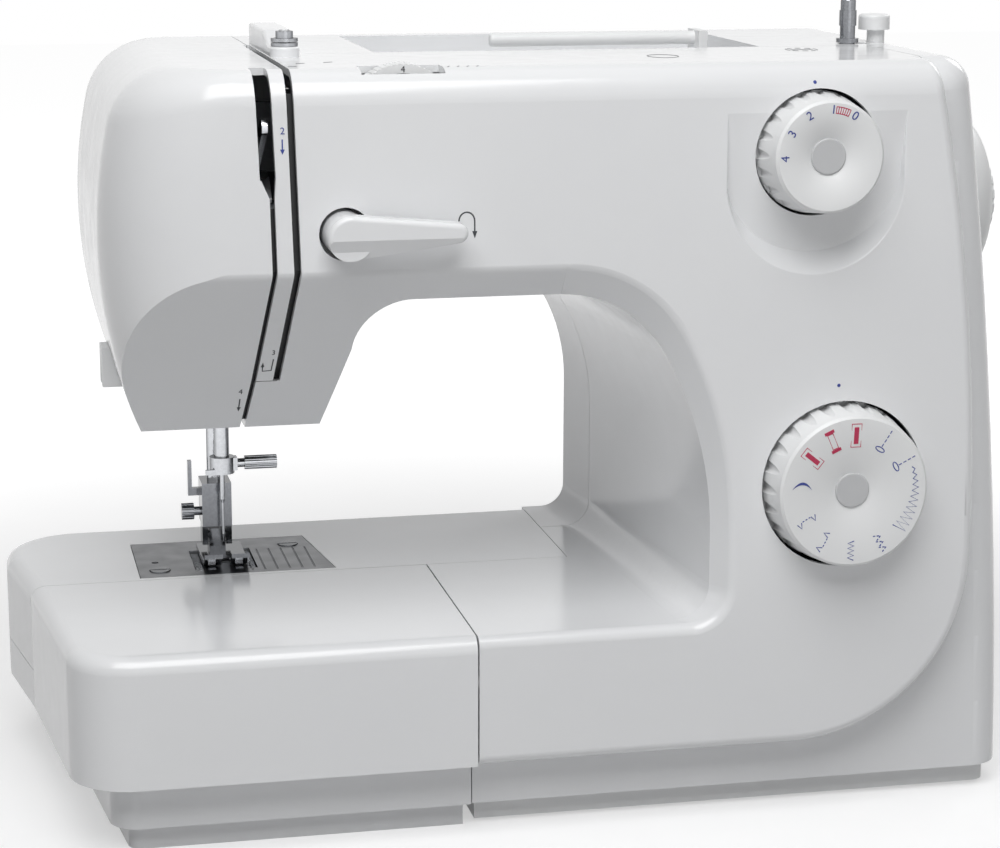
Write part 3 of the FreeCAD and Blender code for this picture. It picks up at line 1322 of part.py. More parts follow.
def build_foot():
    top = SOLE_LOW + SOLE_T
    side = [
        (SOLE_Y0, SOLE_LOW + TOE_RISE),
        (SOLE_Y0 + TOE_RUN, SOLE_LOW),
        (SOLE_Y1, SOLE_LOW),
        (SOLE_Y1, top),
        (SOLE_Y0 + TOE_RUN, top),
        (SOLE_Y0, top + TOE_RISE),
    ]
    sole = yz_prism(side, SOLE_X0, SOLE_X1)
    low = SOLE_LOW - OVER
    high = top + TOE_RISE + OVER
    toe_gap = box(NEEDLE_X - TOE_SLOT_HALF, NEEDLE_X + TOE_SLOT_HALF, SOLE_Y0 - OVER, NEEDLE_Y, low, high)
    slot = box(
        NEEDLE_X - FOOT_SLOT_HALF_X,
        NEEDLE_X + FOOT_SLOT_HALF_X,
        NEEDLE_Y - FOOT_SLOT_HALF_Y,
        NEEDLE_Y + FOOT_SLOT_HALF_Y,
        low,
        high,
    )
    lug = box(
        ANKLE_X0 + EAR_T + TOUCH,
        ANKLE_X1 - EAR_T - TOUCH,
        FOOT_PIN_Y - FOOT_LUG_HALF,
        FOOT_PIN_Y + FOOT_LUG_HALF,
        SOLE_LOW + OVER,
        FOOT_PIN_Z + FOOT_LUG_TOP,
    )
    hole = rod(X_AXIS, ANKLE_X0, FOOT_PIN_Y, FOOT_PIN_Z, FOOT_PIN_R + RUN, ANKLE_X1 - ANKLE_X0)
    return cut(union(sole, lug), toe_gap, slot, hole)


def build_lifter():
    cam_y = LIFT_Y + CAM_THROW * math.cos(CAM_START)
    cam_z = LIFT_Z + CAM_THROW * math.sin(CAM_START)
    length = LIFTER_X1 - LIFTER_X0
    hub = rod(X_AXIS, LIFTER_X0, LIFT_Y, LIFT_Z, LIFTER_HUB_R, length)
    cam = rod(X_AXIS, LIFTER_X0, cam_y, cam_z, CAM_R, length)
    arm = tapered_bar(
        LIFTER_X0, LIFTER_X1, cam_y, cam_z, LIFTER_ARM_R, LIFTER_END_Y, LIFTER_END_Z, LIFTER_END_R
    )
    pad_length = length + 2 * LIFTER_PAD_OUT
    pad = rod(X_AXIS, LIFTER_X0 - LIFTER_PAD_OUT, LIFTER_END_Y, LIFTER_END_Z, LIFTER_END_R, pad_length)
    hole = rod(X_AXIS, LIFTER_X0 - OVER, LIFT_Y, LIFT_Z, LIFT_PIN_R + RUN, length + 2 * OVER)
    return union(hub, cam, arm, pad).cut(hole)


# Take-up lever
TAKE_UP_X0 = -76.0
TAKE_UP_X1 = -74.0
TAKE_UP_TIP_Y = -11.0
TAKE_UP_TIP_Z = 267.0
TAKE_UP_TIP_R = 3.0
TAKE_UP_HUB_R = 6.5
TAKE_UP_HUB_X0 = -77.0
TAKE_UP_HUB_X1 = -73.0
TAKE_UP_ARM_R = 5.0
TAKE_UP_EYE_R = 1.2


def build_take_up():
    width = TAKE_UP_HUB_X1 - TAKE_UP_HUB_X0
    hub = rod(X_AXIS, TAKE_UP_HUB_X0, TAKE_UP_Y, TAKE_UP_Z, TAKE_UP_HUB_R, width)
    arm = tapered_bar(
        TAKE_UP_X0,
        TAKE_UP_X1,
        TAKE_UP_Y,
        TAKE_UP_Z,
        TAKE_UP_ARM_R,
        TAKE_UP_TIP_Y,
        TAKE_UP_TIP_Z,
        TAKE_UP_TIP_R,
    )
    start = TAKE_UP_HUB_X0 - OVER
    bore = rod(X_AXIS, start, TAKE_UP_Y, TAKE_UP_Z, TAKE_UP_PIN_R + RUN, width + 2 * OVER)
    eye = rod(X_AXIS, start, TAKE_UP_TIP_Y, TAKE_UP_TIP_Z, TAKE_UP_EYE_R, width + 2 * OVER)
    return cut(union(hub, arm), bore, eye)


# Lamp and thread cutter on the head
LAMP_HOLDER_Z0 = 190.0
LAMP_HOLDER_Z1 = 206.0
BULB_R = 6.5
BULB_LOW = 168.0
BULB_END_R = 5.0
BULB_CAP_R = 5.45
BULB_CAP_H = 4.0
NOTCH_HALF = 3.0
NOTCH_TOP = 173.0
NOTCH_DEEP = 4.0


def build_bulb():
    glass = rod(Z_AXIS, LAMP_X, LAMP_Y, BULB_LOW, BULB_R, LAMP_HOLDER_Z0 - BULB_LOW)
    glass = glass.makeFillet(BULB_END_R, edges_where(glass, lambda b: b.ZMax < BULB_LOW + 0.1))
    cap = rod(Z_AXIS, LAMP_X, LAMP_Y, LAMP_HOLDER_Z0 - OVER, BULB_CAP_R, BULB_CAP_H + OVER)
    return union(glass, cap)


def build_cutter():
    body = box(CUTTER_X0, CUTTER_X1, CUTTER_Y0, CUTTER_Y1, CUTTER_Z0, CUTTER_Z1)
    middle = (CUTTER_Y0 + CUTTER_Y1) / 2
    low = CUTTER_Z0 - OVER
    corners = [(middle - NOTCH_HALF, low), (middle + NOTCH_HALF, low), (middle, NOTCH_TOP)]
    notch = yz_prism(corners, CUTTER_X0 - OVER, CUTTER_X0 + NOTCH_DEEP)
    return body.cut(notch)


# Needle plate and feed
FEED_BASE_Z0 = 68.0
FEED_BASE_Z1 = 73.0
FEED_BELOW = 0.4
FEED_TOP = BED_TOP - FEED_BELOW
FEED_MARGIN = 1.0
FEED_TAIL = 3.0
FEED_BARS = (-92.0, -87.0, -76.0, -71.0)
FEED_BAR_W = 3.0
FEED_Y0 = 96.0
FEED_Y1 = 122.0
FEED_TRAVEL = 2.0
FEED_SLOT_GAP = 0.5
TOOTH_PITCH = 1.6
TOOTH_CREST = 0.96
TOOTH_DEEP = 1.0
NEEDLE_WAY_R = 3.4
NEEDLE_HOLE_HALF_X = 3.5
NEEDLE_HOLE_HALF_Y = 1.2
CARRIER_Y0 = 121.0
CARRIER_Y1 = 126.4
CARRIER_RIGHT = 40.0
CARRIER_H = 5.0
THREAD_HOLE_X = -107.5
THREAD_HOLE_Y = 109.0
THREAD_HOLE_R = 1.4
GUIDE_LINE_W = 0.5
GUIDE_LINE_DEEP = 0.3
GUIDE_LINE_Y0 = 90.0
GUIDE_LINE_Y1 = 122.0
GUIDE_LINES = (10.0, 15.0, 20.0, 25.0, 30.0, 35.0)


def build_plate():
    low = BED_TOP - PLATE_T
    plate = xy_prism(plate_outline(0), low, BED_TOP)
    holes = [
        box(
            NEEDLE_X - NEEDLE_HOLE_HALF_X,
            NEEDLE_X + NEEDLE_HOLE_HALF_X,
            NEEDLE_Y - NEEDLE_HOLE_HALF_Y,
            NEEDLE_Y + NEEDLE_HOLE_HALF_Y,
            low - OVER,
            BED_TOP + OVER,
        )
    ]
    for x in FEED_BARS:
        reach = FEED_TRAVEL + FEED_SLOT_GAP
        holes.append(
            box(
                x - FEED_SLOT_GAP,
                x + FEED_BAR_W + FEED_SLOT_GAP,
                FEED_Y0 - reach,
                FEED_Y1 + reach,
                low - OVER,
                BED_TOP + OVER,
            )
        )
    for x, y in (PLATE_SCREW_LEFT, PLATE_SCREW_RIGHT):
        holes.append(rod(Z_AXIS, x, y, low - OVER, PLATE_SCREW_R + TOUCH, PLATE_T + 2 * OVER))
        seat = BED_TOP - PLATE_HEAD_DEEP
        holes.append(rod(Z_AXIS, x, y, seat, PLATE_HEAD_R + TOUCH, PLATE_HEAD_DEEP + OVER))
    holes.append(rod(Z_AXIS, THREAD_HOLE_X, THREAD_HOLE_Y, low - OVER, THREAD_HOLE_R, PLATE_T + 2 * OVER))
    for distance in GUIDE_LINES:
        x = NEEDLE_X + distance
        deep = BED_TOP - GUIDE_LINE_DEEP
        holes.append(box(x, x + GUIDE_LINE_W, GUIDE_LINE_Y0, GUIDE_LINE_Y1, deep, BED_TOP + OVER))
    return cut(plate, *holes)


def build_plate_screws():
    screws = []
    for x, y in (PLATE_SCREW_LEFT, PLATE_SCREW_RIGHT):
        head = rod(Z_AXIS, x, y, BED_TOP - PLATE_HEAD_DEEP, PLATE_HEAD_R, PLATE_HEAD_DEEP + PLATE_HEAD_OUT)
        slot = box(
            x - PLATE_HEAD_R,
            x + PLATE_HEAD_R,
            y - DRIVER_SLOT / 2,
            y + DRIVER_SLOT / 2,
            BED_TOP - PLATE_HEAD_OUT,
            BED_TOP + OVER,
        )
        stem = rod(Z_AXIS, x, y, BED_TOP - PLATE_SCREW_DEEP, PLATE_SCREW_R, PLATE_SCREW_DEEP - PLATE_HEAD_OUT)
        screws.append(union(head, stem).cut(slot))
    return Part.makeCompound(screws)


def build_feed_dog():
    left = FEED_BARS[0] - FEED_MARGIN
    right = FEED_BARS[-1] + FEED_BAR_W + FEED_MARGIN
    base = box(left, right, FEED_Y0 - FEED_MARGIN, FEED_Y1 + FEED_TAIL, FEED_BASE_Z0, FEED_BASE_Z1)
    count = int((FEED_Y1 - FEED_Y0) / TOOTH_PITCH)
    foot = FEED_BASE_Z1 - OVER
    valley = FEED_TOP - TOOTH_DEEP
    profile = [(FEED_Y0, foot)]
    for index in range(count):
        start = FEED_Y0 + index * TOOTH_PITCH
        profile.append((start, valley))
        profile.append((start + TOOTH_CREST, FEED_TOP))
    end = FEED_Y0 + count * TOOTH_PITCH
    profile.append((end, valley))
    profile.append((end, foot))
    bars = [yz_prism(profile, x, x + FEED_BAR_W) for x in FEED_BARS]
    carrier = box(FEED_BARS[0], CARRIER_RIGHT, CARRIER_Y0, CARRIER_Y1, FEED_BASE_Z0 - CARRIER_H, FEED_BASE_Z0)
    way_height = FEED_BASE_Z1 - FEED_BASE_Z0 + 2 * OVER
    needle_way = rod(Z_AXIS, NEEDLE_X, NEEDLE_Y, FEED_BASE_Z0 - OVER, NEEDLE_WAY_R, way_height)
    return union(base, carrier, *bars).cut(needle_way)


# Hook, bobbin and their drive
RACE_Y0 = 90.0
RACE_Y1 = 102.0
RACE_R = 17.0
RACE_BORE = 14.4
HOOK_R = 14.1
HOOK_BORE = 12.0
CASE_R = 11.6
BOBBIN_R = 10.15
BOBBIN_W = 8.4
BOBBIN_BORE = 3.0
CASE_POST_R = 2.6
CASE_FLOOR = 0.8
CASE_Y0 = 89.0
CASE_Y1 = 99.0
CASE_ROOM_GAP = 0.5
CASE_FINGER_HALF = 1.5
RING_T = 1.4
RING_GAP = 0.7
RACE_ARM_OUT = 6.0
RACE_ARM_IN = 1.5
RACE_ARM_Y0 = 93.0
RACE_ARM_HALF = 8.0
HOOK_Y0 = 91.0
HOOK_Y1 = 101.0
HOOK_BACK_T = 1.6
HOOK_GAP_X = 4.0
HOOK_GAP_Z = 3.0
BOBBIN_Y0 = 89.4
BOBBIN_SIDE_T = 0.9
BOBBIN_CORE_R = 4.2
DRIVER_R = 7.5
DRIVER_T = 1.4
HOOK_SHAFT_END = 148.0


def build_race():
    body = ring(Y_AXIS, NEEDLE_X, RACE_Y0, HOOK_Z, RACE_R, RACE_BORE, RACE_Y1 - RACE_Y0)
    left = NEEDLE_X - RACE_R
    low = HOOK_Z - RACE_ARM_HALF
    high = HOOK_Z + RACE_ARM_HALF
    arm = box(left - RACE_ARM_OUT, left + RACE_ARM_IN, RACE_ARM_Y0, PLATE_FRONT, low, high)
    return union(body, arm)


def build_race_ring():
    return ring(Y_AXIS, NEEDLE_X, RACE_Y0 - RING_T, HOOK_Z, RACE_R, CASE_R + RING_GAP, RING_T)


def build_hook():
    body = ring(Y_AXIS, NEEDLE_X, HOOK_Y0, HOOK_Z, HOOK_R, HOOK_BORE, HOOK_Y1 - HOOK_Y0)
    back_y = HOOK_Y1 - HOOK_BACK_T
    back = rod(Y_AXIS, NEEDLE_X, back_y, HOOK_Z, HOOK_R, HOOK_BACK_T)
    gap = box(
        NEEDLE_X + HOOK_GAP_X,
        NEEDLE_X + HOOK_R + OVER,
        HOOK_Y0 - OVER,
        back_y,
        HOOK_Z + HOOK_GAP_Z,
        HOOK_Z + HOOK_R + OVER,
    )
    return union(body, back).cut(gap)


def build_bobbin_case():
    room_depth = CASE_Y1 - CASE_FLOOR - CASE_Y0
    outer = rod(Y_AXIS, NEEDLE_X, CASE_Y0, HOOK_Z, CASE_R, CASE_Y1 - CASE_Y0)
    room = rod(Y_AXIS, NEEDLE_X, CASE_Y0 - OVER, HOOK_Z, BOBBIN_R + CASE_ROOM_GAP, room_depth + OVER)
    post = rod(Y_AXIS, NEEDLE_X, BOBBIN_Y0, HOOK_Z, CASE_POST_R, CASE_Y1 - BOBBIN_Y0)
    finger = box(
        NEEDLE_X - CASE_FINGER_HALF,
        NEEDLE_X + CASE_FINGER_HALF,
        CASE_Y0,
        RACE_Y0,
        HOOK_Z + CASE_R - CASE_FLOOR,
        HOOK_Z + CASE_R + RING_GAP - TOUCH,
    )
    return union(outer.cut(room), post, finger)


def build_bobbin():
    body = rod(Y_AXIS, NEEDLE_X, BOBBIN_Y0, HOOK_Z, BOBBIN_R, BOBBIN_W)
    room_y = BOBBIN_Y0 + BOBBIN_SIDE_T
    room_w = BOBBIN_W - 2 * BOBBIN_SIDE_T
    thread_room = ring(Y_AXIS, NEEDLE_X, room_y, HOOK_Z, BOBBIN_R + OVER, BOBBIN_CORE_R, room_w)
    bore = rod(Y_AXIS, NEEDLE_X, BOBBIN_Y0 - OVER, HOOK_Z, BOBBIN_BORE, BOBBIN_W + 2 * OVER)
    return cut(body, thread_room, bore)


def build_hook_shaft():
    driver = rod(Y_AXIS, NEEDLE_X, HOOK_Y1, HOOK_Z, DRIVER_R, DRIVER_T)
    shaft = rod(Y_AXIS, NEEDLE_X, HOOK_Y1, HOOK_Z, HOOK_SHAFT_R, HOOK_SHAFT_END - HOOK_Y1)
    return union(driver, shaft, spur(NEEDLE_X, PINION_R, PINION_TEETH, 0))


def spur(x, radius, teeth, phase):
    """A spur gear on the front-to-back axis with straight-sided teeth and room to run."""
    root = rod(Y_AXIS, x, GEAR_Y, HOOK_Z, radius - TOOTH_BELOW * TOOTH, GEAR_W)
    tip_r = radius + TOOTH_ABOVE * TOOTH
    foot_r = radius - TOOTH_ROOTED * TOOTH
    pitch = 2 * math.pi / teeth
    pieces = []
    for index in range(teeth):
        angle = phase + index * pitch
        outline = []
        for reach, half in (
            (foot_r, TOOTH_ROOT_HALF),
            (tip_r, TOOTH_TIP_HALF),
            (tip_r, -TOOTH_TIP_HALF),
            (foot_r, -TOOTH_ROOT_HALF),
        ):
            turn = angle + half * pitch
            outline.append((x + reach * math.cos(turn), HOOK_Z + reach * math.sin(turn)))
        pieces.append(xz_prism(outline, GEAR_Y, GEAR_Y + GEAR_W))
    return union(root, *pieces)


def build_hook_gear():
    wheel = spur(GEAR_X, GEAR_R, GEAR_TEETH, math.pi / GEAR_TEETH)
    shaft = rod(Y_AXIS, GEAR_X, GEAR_SHAFT_FRONT, HOOK_Z, HOOK_SHAFT_R, HOOK_SHAFT_END - GEAR_SHAFT_FRONT)
    return union(wheel, shaft)


# Handwheel and shaft drive
SHAFT_X1 = 231.5
WHEEL_X0 = 205.7
WHEEL_X1 = 235.5
WHEEL_R = 38.0
WHEEL_EDGE_R = 16.0
WHEEL_RECESS_R = 18.0
WHEEL_RECESS = 3.0
WHEEL_BACK_R = 3.0
WHEEL_RIM = 5.0
WHEEL_HUB = 6.0
WHEEL_HOLLOW = 13.0
KNOB_FLUTES = 18
KNOB_FLUTE_R = 1.6
KNOB_SPIGOT_R = 5.5
KNOB_R = 17.0
KNOB_RIGHT = 240.0


def build_wheel():
    body = rod(X_AXIS, WHEEL_X0, SHAFT_Y, SHAFT_Z, WHEEL_R, WHEEL_X1 - WHEEL_X0)
    body = body.makeFillet(WHEEL_EDGE_R, edges_where(body, lambda b: b.XMin > WHEEL_X1 - 0.1))
    body = body.makeFillet(WHEEL_BACK_R, edges_where(body, lambda b: b.XMax < WHEEL_X0 + 0.1))
    start = WHEEL_X0 - OVER
    hollow_length = WHEEL_HOLLOW + OVER
    hollow = ring(X_AXIS, start, SHAFT_Y, SHAFT_Z, WHEEL_R - WHEEL_RIM, SHAFT_R + WHEEL_HUB, hollow_length)
    bore = rod(X_AXIS, start, SHAFT_Y, SHAFT_Z, SHAFT_R + RUN, WHEEL_X1 - start)
    recess = rod(X_AXIS, WHEEL_X1 - WHEEL_RECESS, SHAFT_Y, SHAFT_Z, WHEEL_RECESS_R, WHEEL_RECESS + OVER)
    return cut(body, hollow, bore, recess)


def build_knob():
    start = WHEEL_X1 - WHEEL_RECESS + TOUCH
    head = fluted(X_AXIS, start, SHAFT_Y, SHAFT_Z, KNOB_R, KNOB_RIGHT - start, KNOB_FLUTES, KNOB_FLUTE_R)
    spigot = rod(X_AXIS, SHAFT_X1 + TOUCH, SHAFT_Y, SHAFT_Z, KNOB_SPIGOT_R, start - SHAFT_X1)
    return union(head, spigot)


def grooved_pulley(z, groove_r, bore):
    flange = groove_r + PULLEY_FLANGE
    width = PULLEY_X1 - PULLEY_X0
    wheel = rod(X_AXIS, PULLEY_X0, SHAFT_Y, z, flange, width)
    groove_w = BELT_X1 - BELT_X0 + 2 * TOUCH
    holes = [ring(X_AXIS, BELT_X0 - TOUCH, SHAFT_Y, z, flange + OVER, groove_r, groove_w)]
    if bore:
        holes.append(rod(X_AXIS, PULLEY_X0 - OVER, SHAFT_Y, z, bore, width + 2 * OVER))
    return cut(wheel, *holes)


def build_motor_pulley():
    wheel = grooved_pulley(MOTOR_Z, MOTOR_GROOVE_R, 0)
    start = MOTOR_X1 - MOTOR_BORE + OVER
    return union(wheel, rod(X_AXIS, start, SHAFT_Y, MOTOR_Z, MOTOR_SHAFT_R, PULLEY_X1 - start))


def build_motor():
    body = rod(X_AXIS, MOTOR_X0, SHAFT_Y, MOTOR_Z, MOTOR_R, MOTOR_X1 - MOTOR_BOSS - MOTOR_X0)
    boss = rod(X_AXIS, MOTOR_X1 - MOTOR_BOSS - OVER, SHAFT_Y, MOTOR_Z, MOTOR_BOSS_R, MOTOR_BOSS + OVER)
    bore = rod(X_AXIS, MOTOR_X1 - MOTOR_BORE, SHAFT_Y, MOTOR_Z, MOTOR_SHAFT_R + RUN, MOTOR_BORE + OVER)
    return union(body, boss).cut(bore)


def belt_loop(grow, x0, x1):
    upper = SHAFT_GROOVE_R + TOUCH + grow
    lower = MOTOR_GROOVE_R + TOUCH + grow
    return tapered_bar(x0, x1, SHAFT_Y, SHAFT_Z, upper, SHAFT_Y, MOTOR_Z, lower)


def build_belt():
    return belt_loop(BELT_T, BELT_X0, BELT_X1).cut(belt_loop(0, BELT_X0 - OVER, BELT_X1 + OVER))


# Dials and lever on the front
DIAL_BACK = -12.0
DIAL_FRONT = -33.0
DIAL_TAPER = 2.0
DIAL_DISH = 3.0
DIAL_SKIRT = 3.0
DIAL_BEVEL = 1.0
DIAL_FLUTE_STOP = 2.5
DIAL_FLUTE_SINK = 0.65
UPPER_FLUTES = 20
UPPER_FLUTE_R = 2.2
LOWER_FLUTES = 24
LOWER_FLUTE_R = 2.6
CAP_EDGE_R = 0.6
CAM_LAYERS = 3
CAM_T = 4.0
CAM_Y0 = 8.0
CAM_LOBE_R = 13.0
CAM_LOBE_OUT = 7.0
CAP_R = 6.6
CAP_OUT = 0.8
DIAL_SHAFT_END = 30.0


def build_dial(x, z, radius, flutes, flute_r):
    """A fluted knob whose face curves down from its rim to the seat of the cap."""
    face_r = radius - DIAL_TAPER
    crest_r = face_r - DIAL_BEVEL
    seat = DIAL_FRONT + DIAL_DISH
    run = crest_r - CAP_R
    sweep_r = (run * run + DIAL_DISH * DIAL_DISH) / (2 * DIAL_DISH)
    half = math.asin(run / sweep_r) / 2
    middle = V(x + crest_r - sweep_r * math.sin(half), DIAL_FRONT + sweep_r * (1 - math.cos(half)), z)
    corners = [
        V(x + CAP_R, seat, z),
        V(x, seat, z),
        V(x, DIAL_BACK, z),
        V(x + radius, DIAL_BACK, z),
        V(x + radius, DIAL_BACK - DIAL_SKIRT, z),
        V(x + face_r, DIAL_FRONT + DIAL_BEVEL, z),
        V(x + crest_r, DIAL_FRONT, z),
    ]
    sweep = Part.Arc(corners[-1], middle, corners[0]).toShape()
    profile = Part.Wire(Part.makePolygon(corners).Edges + [sweep])
    body = Part.Face(profile).revolve(V(x, 0, z), Y_AXIS, 360)
    grooves = []
    reach = radius + (1 - DIAL_FLUTE_SINK) * flute_r
    length = DIAL_BACK - DIAL_FLUTE_STOP - DIAL_FRONT + OVER
    for index in range(flutes):
        angle = 2 * math.pi * index / flutes
        groove_x = x + reach * math.cos(angle)
        groove_z = z + reach * math.sin(angle)
        grooves.append(rod(Y_AXIS, groove_x, DIAL_FRONT - OVER, groove_z, flute_r, length))
    shaft = rod(Y_AXIS, x, DIAL_BACK - OVER, z, DIAL_SHAFT_R, DIAL_SHAFT_END - DIAL_BACK + OVER)
    return union(cut(body, *grooves), shaft)


def build_cap(x, z):
    seat = DIAL_FRONT + DIAL_DISH
    cap = rod(Y_AXIS, x, seat - CAP_OUT, z, CAP_R, CAP_OUT)
    return cap.makeFillet(CAP_EDGE_R, edges_where(cap, lambda b: b.YMax < seat - CAP_EDGE_R))


def build_pattern_cam():
    stack = []
    for layer in range(CAM_LAYERS):
        lobes = layer + 2
        for lobe in range(lobes):
            angle = 2 * math.pi * lobe / lobes
            lobe_x = LOWER_DIAL_X + CAM_LOBE_OUT * math.cos(angle)
            lobe_z = LOWER_DIAL_Z + CAM_LOBE_OUT * math.sin(angle)
            stack.append(rod(Y_AXIS, lobe_x, CAM_Y0 + layer * CAM_T, lobe_z, CAM_LOBE_R, CAM_T))
    return union(*stack)


LEVER_FRONT = -34.0
LEVER_ARM_T = 7.5
LEVER_TIP_X = -10.0
LEVER_TIP_RISE = 1.0
LEVER_TIP_Z = LEVER_Z + LEVER_TIP_RISE
LEVER_TIP_R = 3.4
LEVER_EDGE_R = 1.8
LEVER_RIDGE_DROP = 0.5
LEVER_HUB_IN = 2.0
LEVER_HUB_GAP = 1.5
LEVER_SHAFT_END = 14.0


def build_lever():
    start = LEVER_FRONT + LEVER_HUB_IN
    hub = rod(Y_AXIS, LEVER_X, start, LEVER_Z, LEVER_HUB_R, LEVER_CUP_FLOOR - LEVER_HUB_GAP - start)
    shaft = rod(Y_AXIS, LEVER_X, start, LEVER_Z, LEVER_SHAFT_R, LEVER_SHAFT_END - start)
    distance = LEVER_TIP_X - LEVER_X
    lean = math.acos((LEVER_HUB_R - LEVER_TIP_R) / distance)
    outline = [
        (LEVER_X + LEVER_HUB_R * math.cos(lean), LEVER_Z + LEVER_HUB_R * math.sin(lean)),
        (LEVER_TIP_X + LEVER_TIP_R * math.cos(lean), LEVER_TIP_Z + LEVER_TIP_R * math.sin(lean)),
        (LEVER_TIP_X + LEVER_TIP_R * math.cos(lean), LEVER_TIP_Z - LEVER_TIP_R * math.sin(lean)),
        (LEVER_X + LEVER_HUB_R * math.cos(lean), LEVER_Z - LEVER_HUB_R * math.sin(lean)),
    ]
    arm = union(
        xz_prism(outline, LEVER_FRONT, LEVER_FRONT + LEVER_ARM_T),
        rod(Y_AXIS, LEVER_X, LEVER_FRONT, LEVER_Z, LEVER_HUB_R, LEVER_ARM_T),
        rod(Y_AXIS, LEVER_TIP_X, LEVER_FRONT, LEVER_TIP_Z, LEVER_TIP_R, LEVER_ARM_T),
    )
    arm = arm.makeFillet(LEVER_EDGE_R, edges_where(arm, lambda b: b.YMax < LEVER_FRONT + 0.1))
    ridge = LEVER_Z - LEVER_RIDGE_DROP
    low = LEVER_Z - 2 * LEVER_HUB_R
    lean = [(LEVER_FRONT - OVER, ridge), (LEVER_FRONT, ridge), (LEVER_FRONT + LEVER_ARM_T, low)]
    underside = yz_prism(lean + [(LEVER_FRONT - OVER, low)], LEVER_X - REACH, LEVER_TIP_X + REACH)
    return union(arm.cut(underside), hub, shaft)


# Tension parts
TENSION_RIDGES = 60
TENSION_RIDGE_R = 0.6
TENSION_STUD_OUT = 2.0
TENSION_NUT_R = 5.0
TENSION_NUT_T = 4.0
TENSION_DISC_R = 10.0
TENSION_DISC_T = 1.2
TENSION_DISC_Y = (18.0, 21.0)
TENSION_SLEEVE_R = 5.5
TENSION_SLEEVE_END = 35.7


def build_tension_dial():
    width = TENSION_Y1 - TENSION_Y0
    body = fluted(Y_AXIS, TENSION_X, TENSION_Y0, TENSION_Z, TENSION_R, width, TENSION_RIDGES, TENSION_RIDGE_R)
    bore = rod(Y_AXIS, TENSION_X, TENSION_Y0 - OVER, TENSION_Z, TENSION_STUD_R + RUN, width + 2 * OVER)
    return body.cut(bore)


def build_tension_stack():
    bore = TENSION_STUD_R + TOUCH
    start = TENSION_Y0 - TENSION_STUD_OUT
    stud = rod(Y_AXIS, TENSION_X, start, TENSION_Z, TENSION_STUD_R, TENSION_BOSS_Y1 - start)
    nut = rod(Y_AXIS, TENSION_X, TENSION_BOSS_Y0 - TENSION_NUT_T, TENSION_Z, TENSION_NUT_R, TENSION_NUT_T)
    discs = [union(stud, nut)]
    for y in TENSION_DISC_Y:
        discs.append(ring(Y_AXIS, TENSION_X, y, TENSION_Z, TENSION_DISC_R, bore, TENSION_DISC_T))
    sleeve_y = TENSION_DISC_Y[-1] + TENSION_DISC_T
    sleeve_length = TENSION_SLEEVE_END - sleeve_y
    discs.append(ring(Y_AXIS, TENSION_X, sleeve_y, TENSION_Z, TENSION_SLEEVE_R, bore, sleeve_length))
    return Part.makeCompound(discs)


# Fittings on the top
GUIDE_BESIDE_SLOT = 0.4
GUIDE_LEFT = RIGHT_SLOT_TOP[0] + SLOT_W / 2 + GUIDE_BESIDE_SLOT
GUIDE_W = 11.0
GUIDE_RIGHT = GUIDE_LEFT + GUIDE_W
GUIDE_FRONT = 40.0
GUIDE_REAR = 108.0
GUIDE_STUD_X = GUIDE_LEFT + GUIDE_W / 2
GUIDE_STUD_Y = GUIDE_FRONT + GUIDE_W / 2
GUIDE_STUD_R = 1.8
GUIDE_STUD_H = 10.0
GUIDE_T = 4.0
GUIDE_H = 8.5
GUIDE_RAMP_Y0 = 52.0
GUIDE_RAMP_Y1 = 66.0
GUIDE_EDGE_R = 1.2
GUIDE_DISC_R = 5.0
GUIDE_DISC_T = 1.2
GUIDE_DISC_GAP = 0.4
GUIDE_CAP_R = 3.2
GUIDE_CAP_T = 2.6
PIN_LEFT = 29.0
PIN_RIGHT = 113.0
PIN_Y = 100.0
PIN_Z = 288.0
PIN_R = 2.7
PIN_END_R = 1.2
PILLAR_T = 3.5
PILLAR_HALF = 8.0
PILLAR_ABOVE = 3.2


def build_top_guide():
    """A raised finger beside the slot, low and round at the front, where the stud stands."""
    low = TOP + GUIDE_T
    high = TOP + GUIDE_H
    side = [
        (GUIDE_FRONT, TOP),
        (GUIDE_REAR, TOP),
        (GUIDE_REAR, high),
        (GUIDE_RAMP_Y1, high),
        (GUIDE_RAMP_Y0, low),
        (GUIDE_FRONT, low),
    ]
    body = yz_prism(side, GUIDE_LEFT, GUIDE_RIGHT)
    nose = rod(Z_AXIS, GUIDE_STUD_X, GUIDE_STUD_Y, TOP, GUIDE_W / 2, GUIDE_H)
    plan = union(nose, box(GUIDE_LEFT, GUIDE_RIGHT, GUIDE_STUD_Y, GUIDE_REAR, TOP, high))
    body = body.common(plan)
    body = body.makeFillet(GUIDE_EDGE_R, edges_where(body, lambda b: b.ZMin > low - 0.1))
    stud = rod(Z_AXIS, GUIDE_STUD_X, GUIDE_STUD_Y, TOP, GUIDE_STUD_R, GUIDE_STUD_H)
    return union(body, stud)


def build_guide_discs():
    bore = GUIDE_STUD_R + TOUCH
    lower_z = TOP + GUIDE_T
    upper_z = lower_z + GUIDE_DISC_T + GUIDE_DISC_GAP
    lower = ring(Z_AXIS, GUIDE_STUD_X, GUIDE_STUD_Y, lower_z, GUIDE_DISC_R, bore, GUIDE_DISC_T)
    upper = ring(Z_AXIS, GUIDE_STUD_X, GUIDE_STUD_Y, upper_z, GUIDE_DISC_R, bore, GUIDE_DISC_T)
    cap = ring(Z_AXIS, GUIDE_STUD_X, GUIDE_STUD_Y, upper_z + GUIDE_DISC_T, GUIDE_CAP_R, bore, GUIDE_CAP_T)
    return Part.makeCompound([lower, upper, cap])


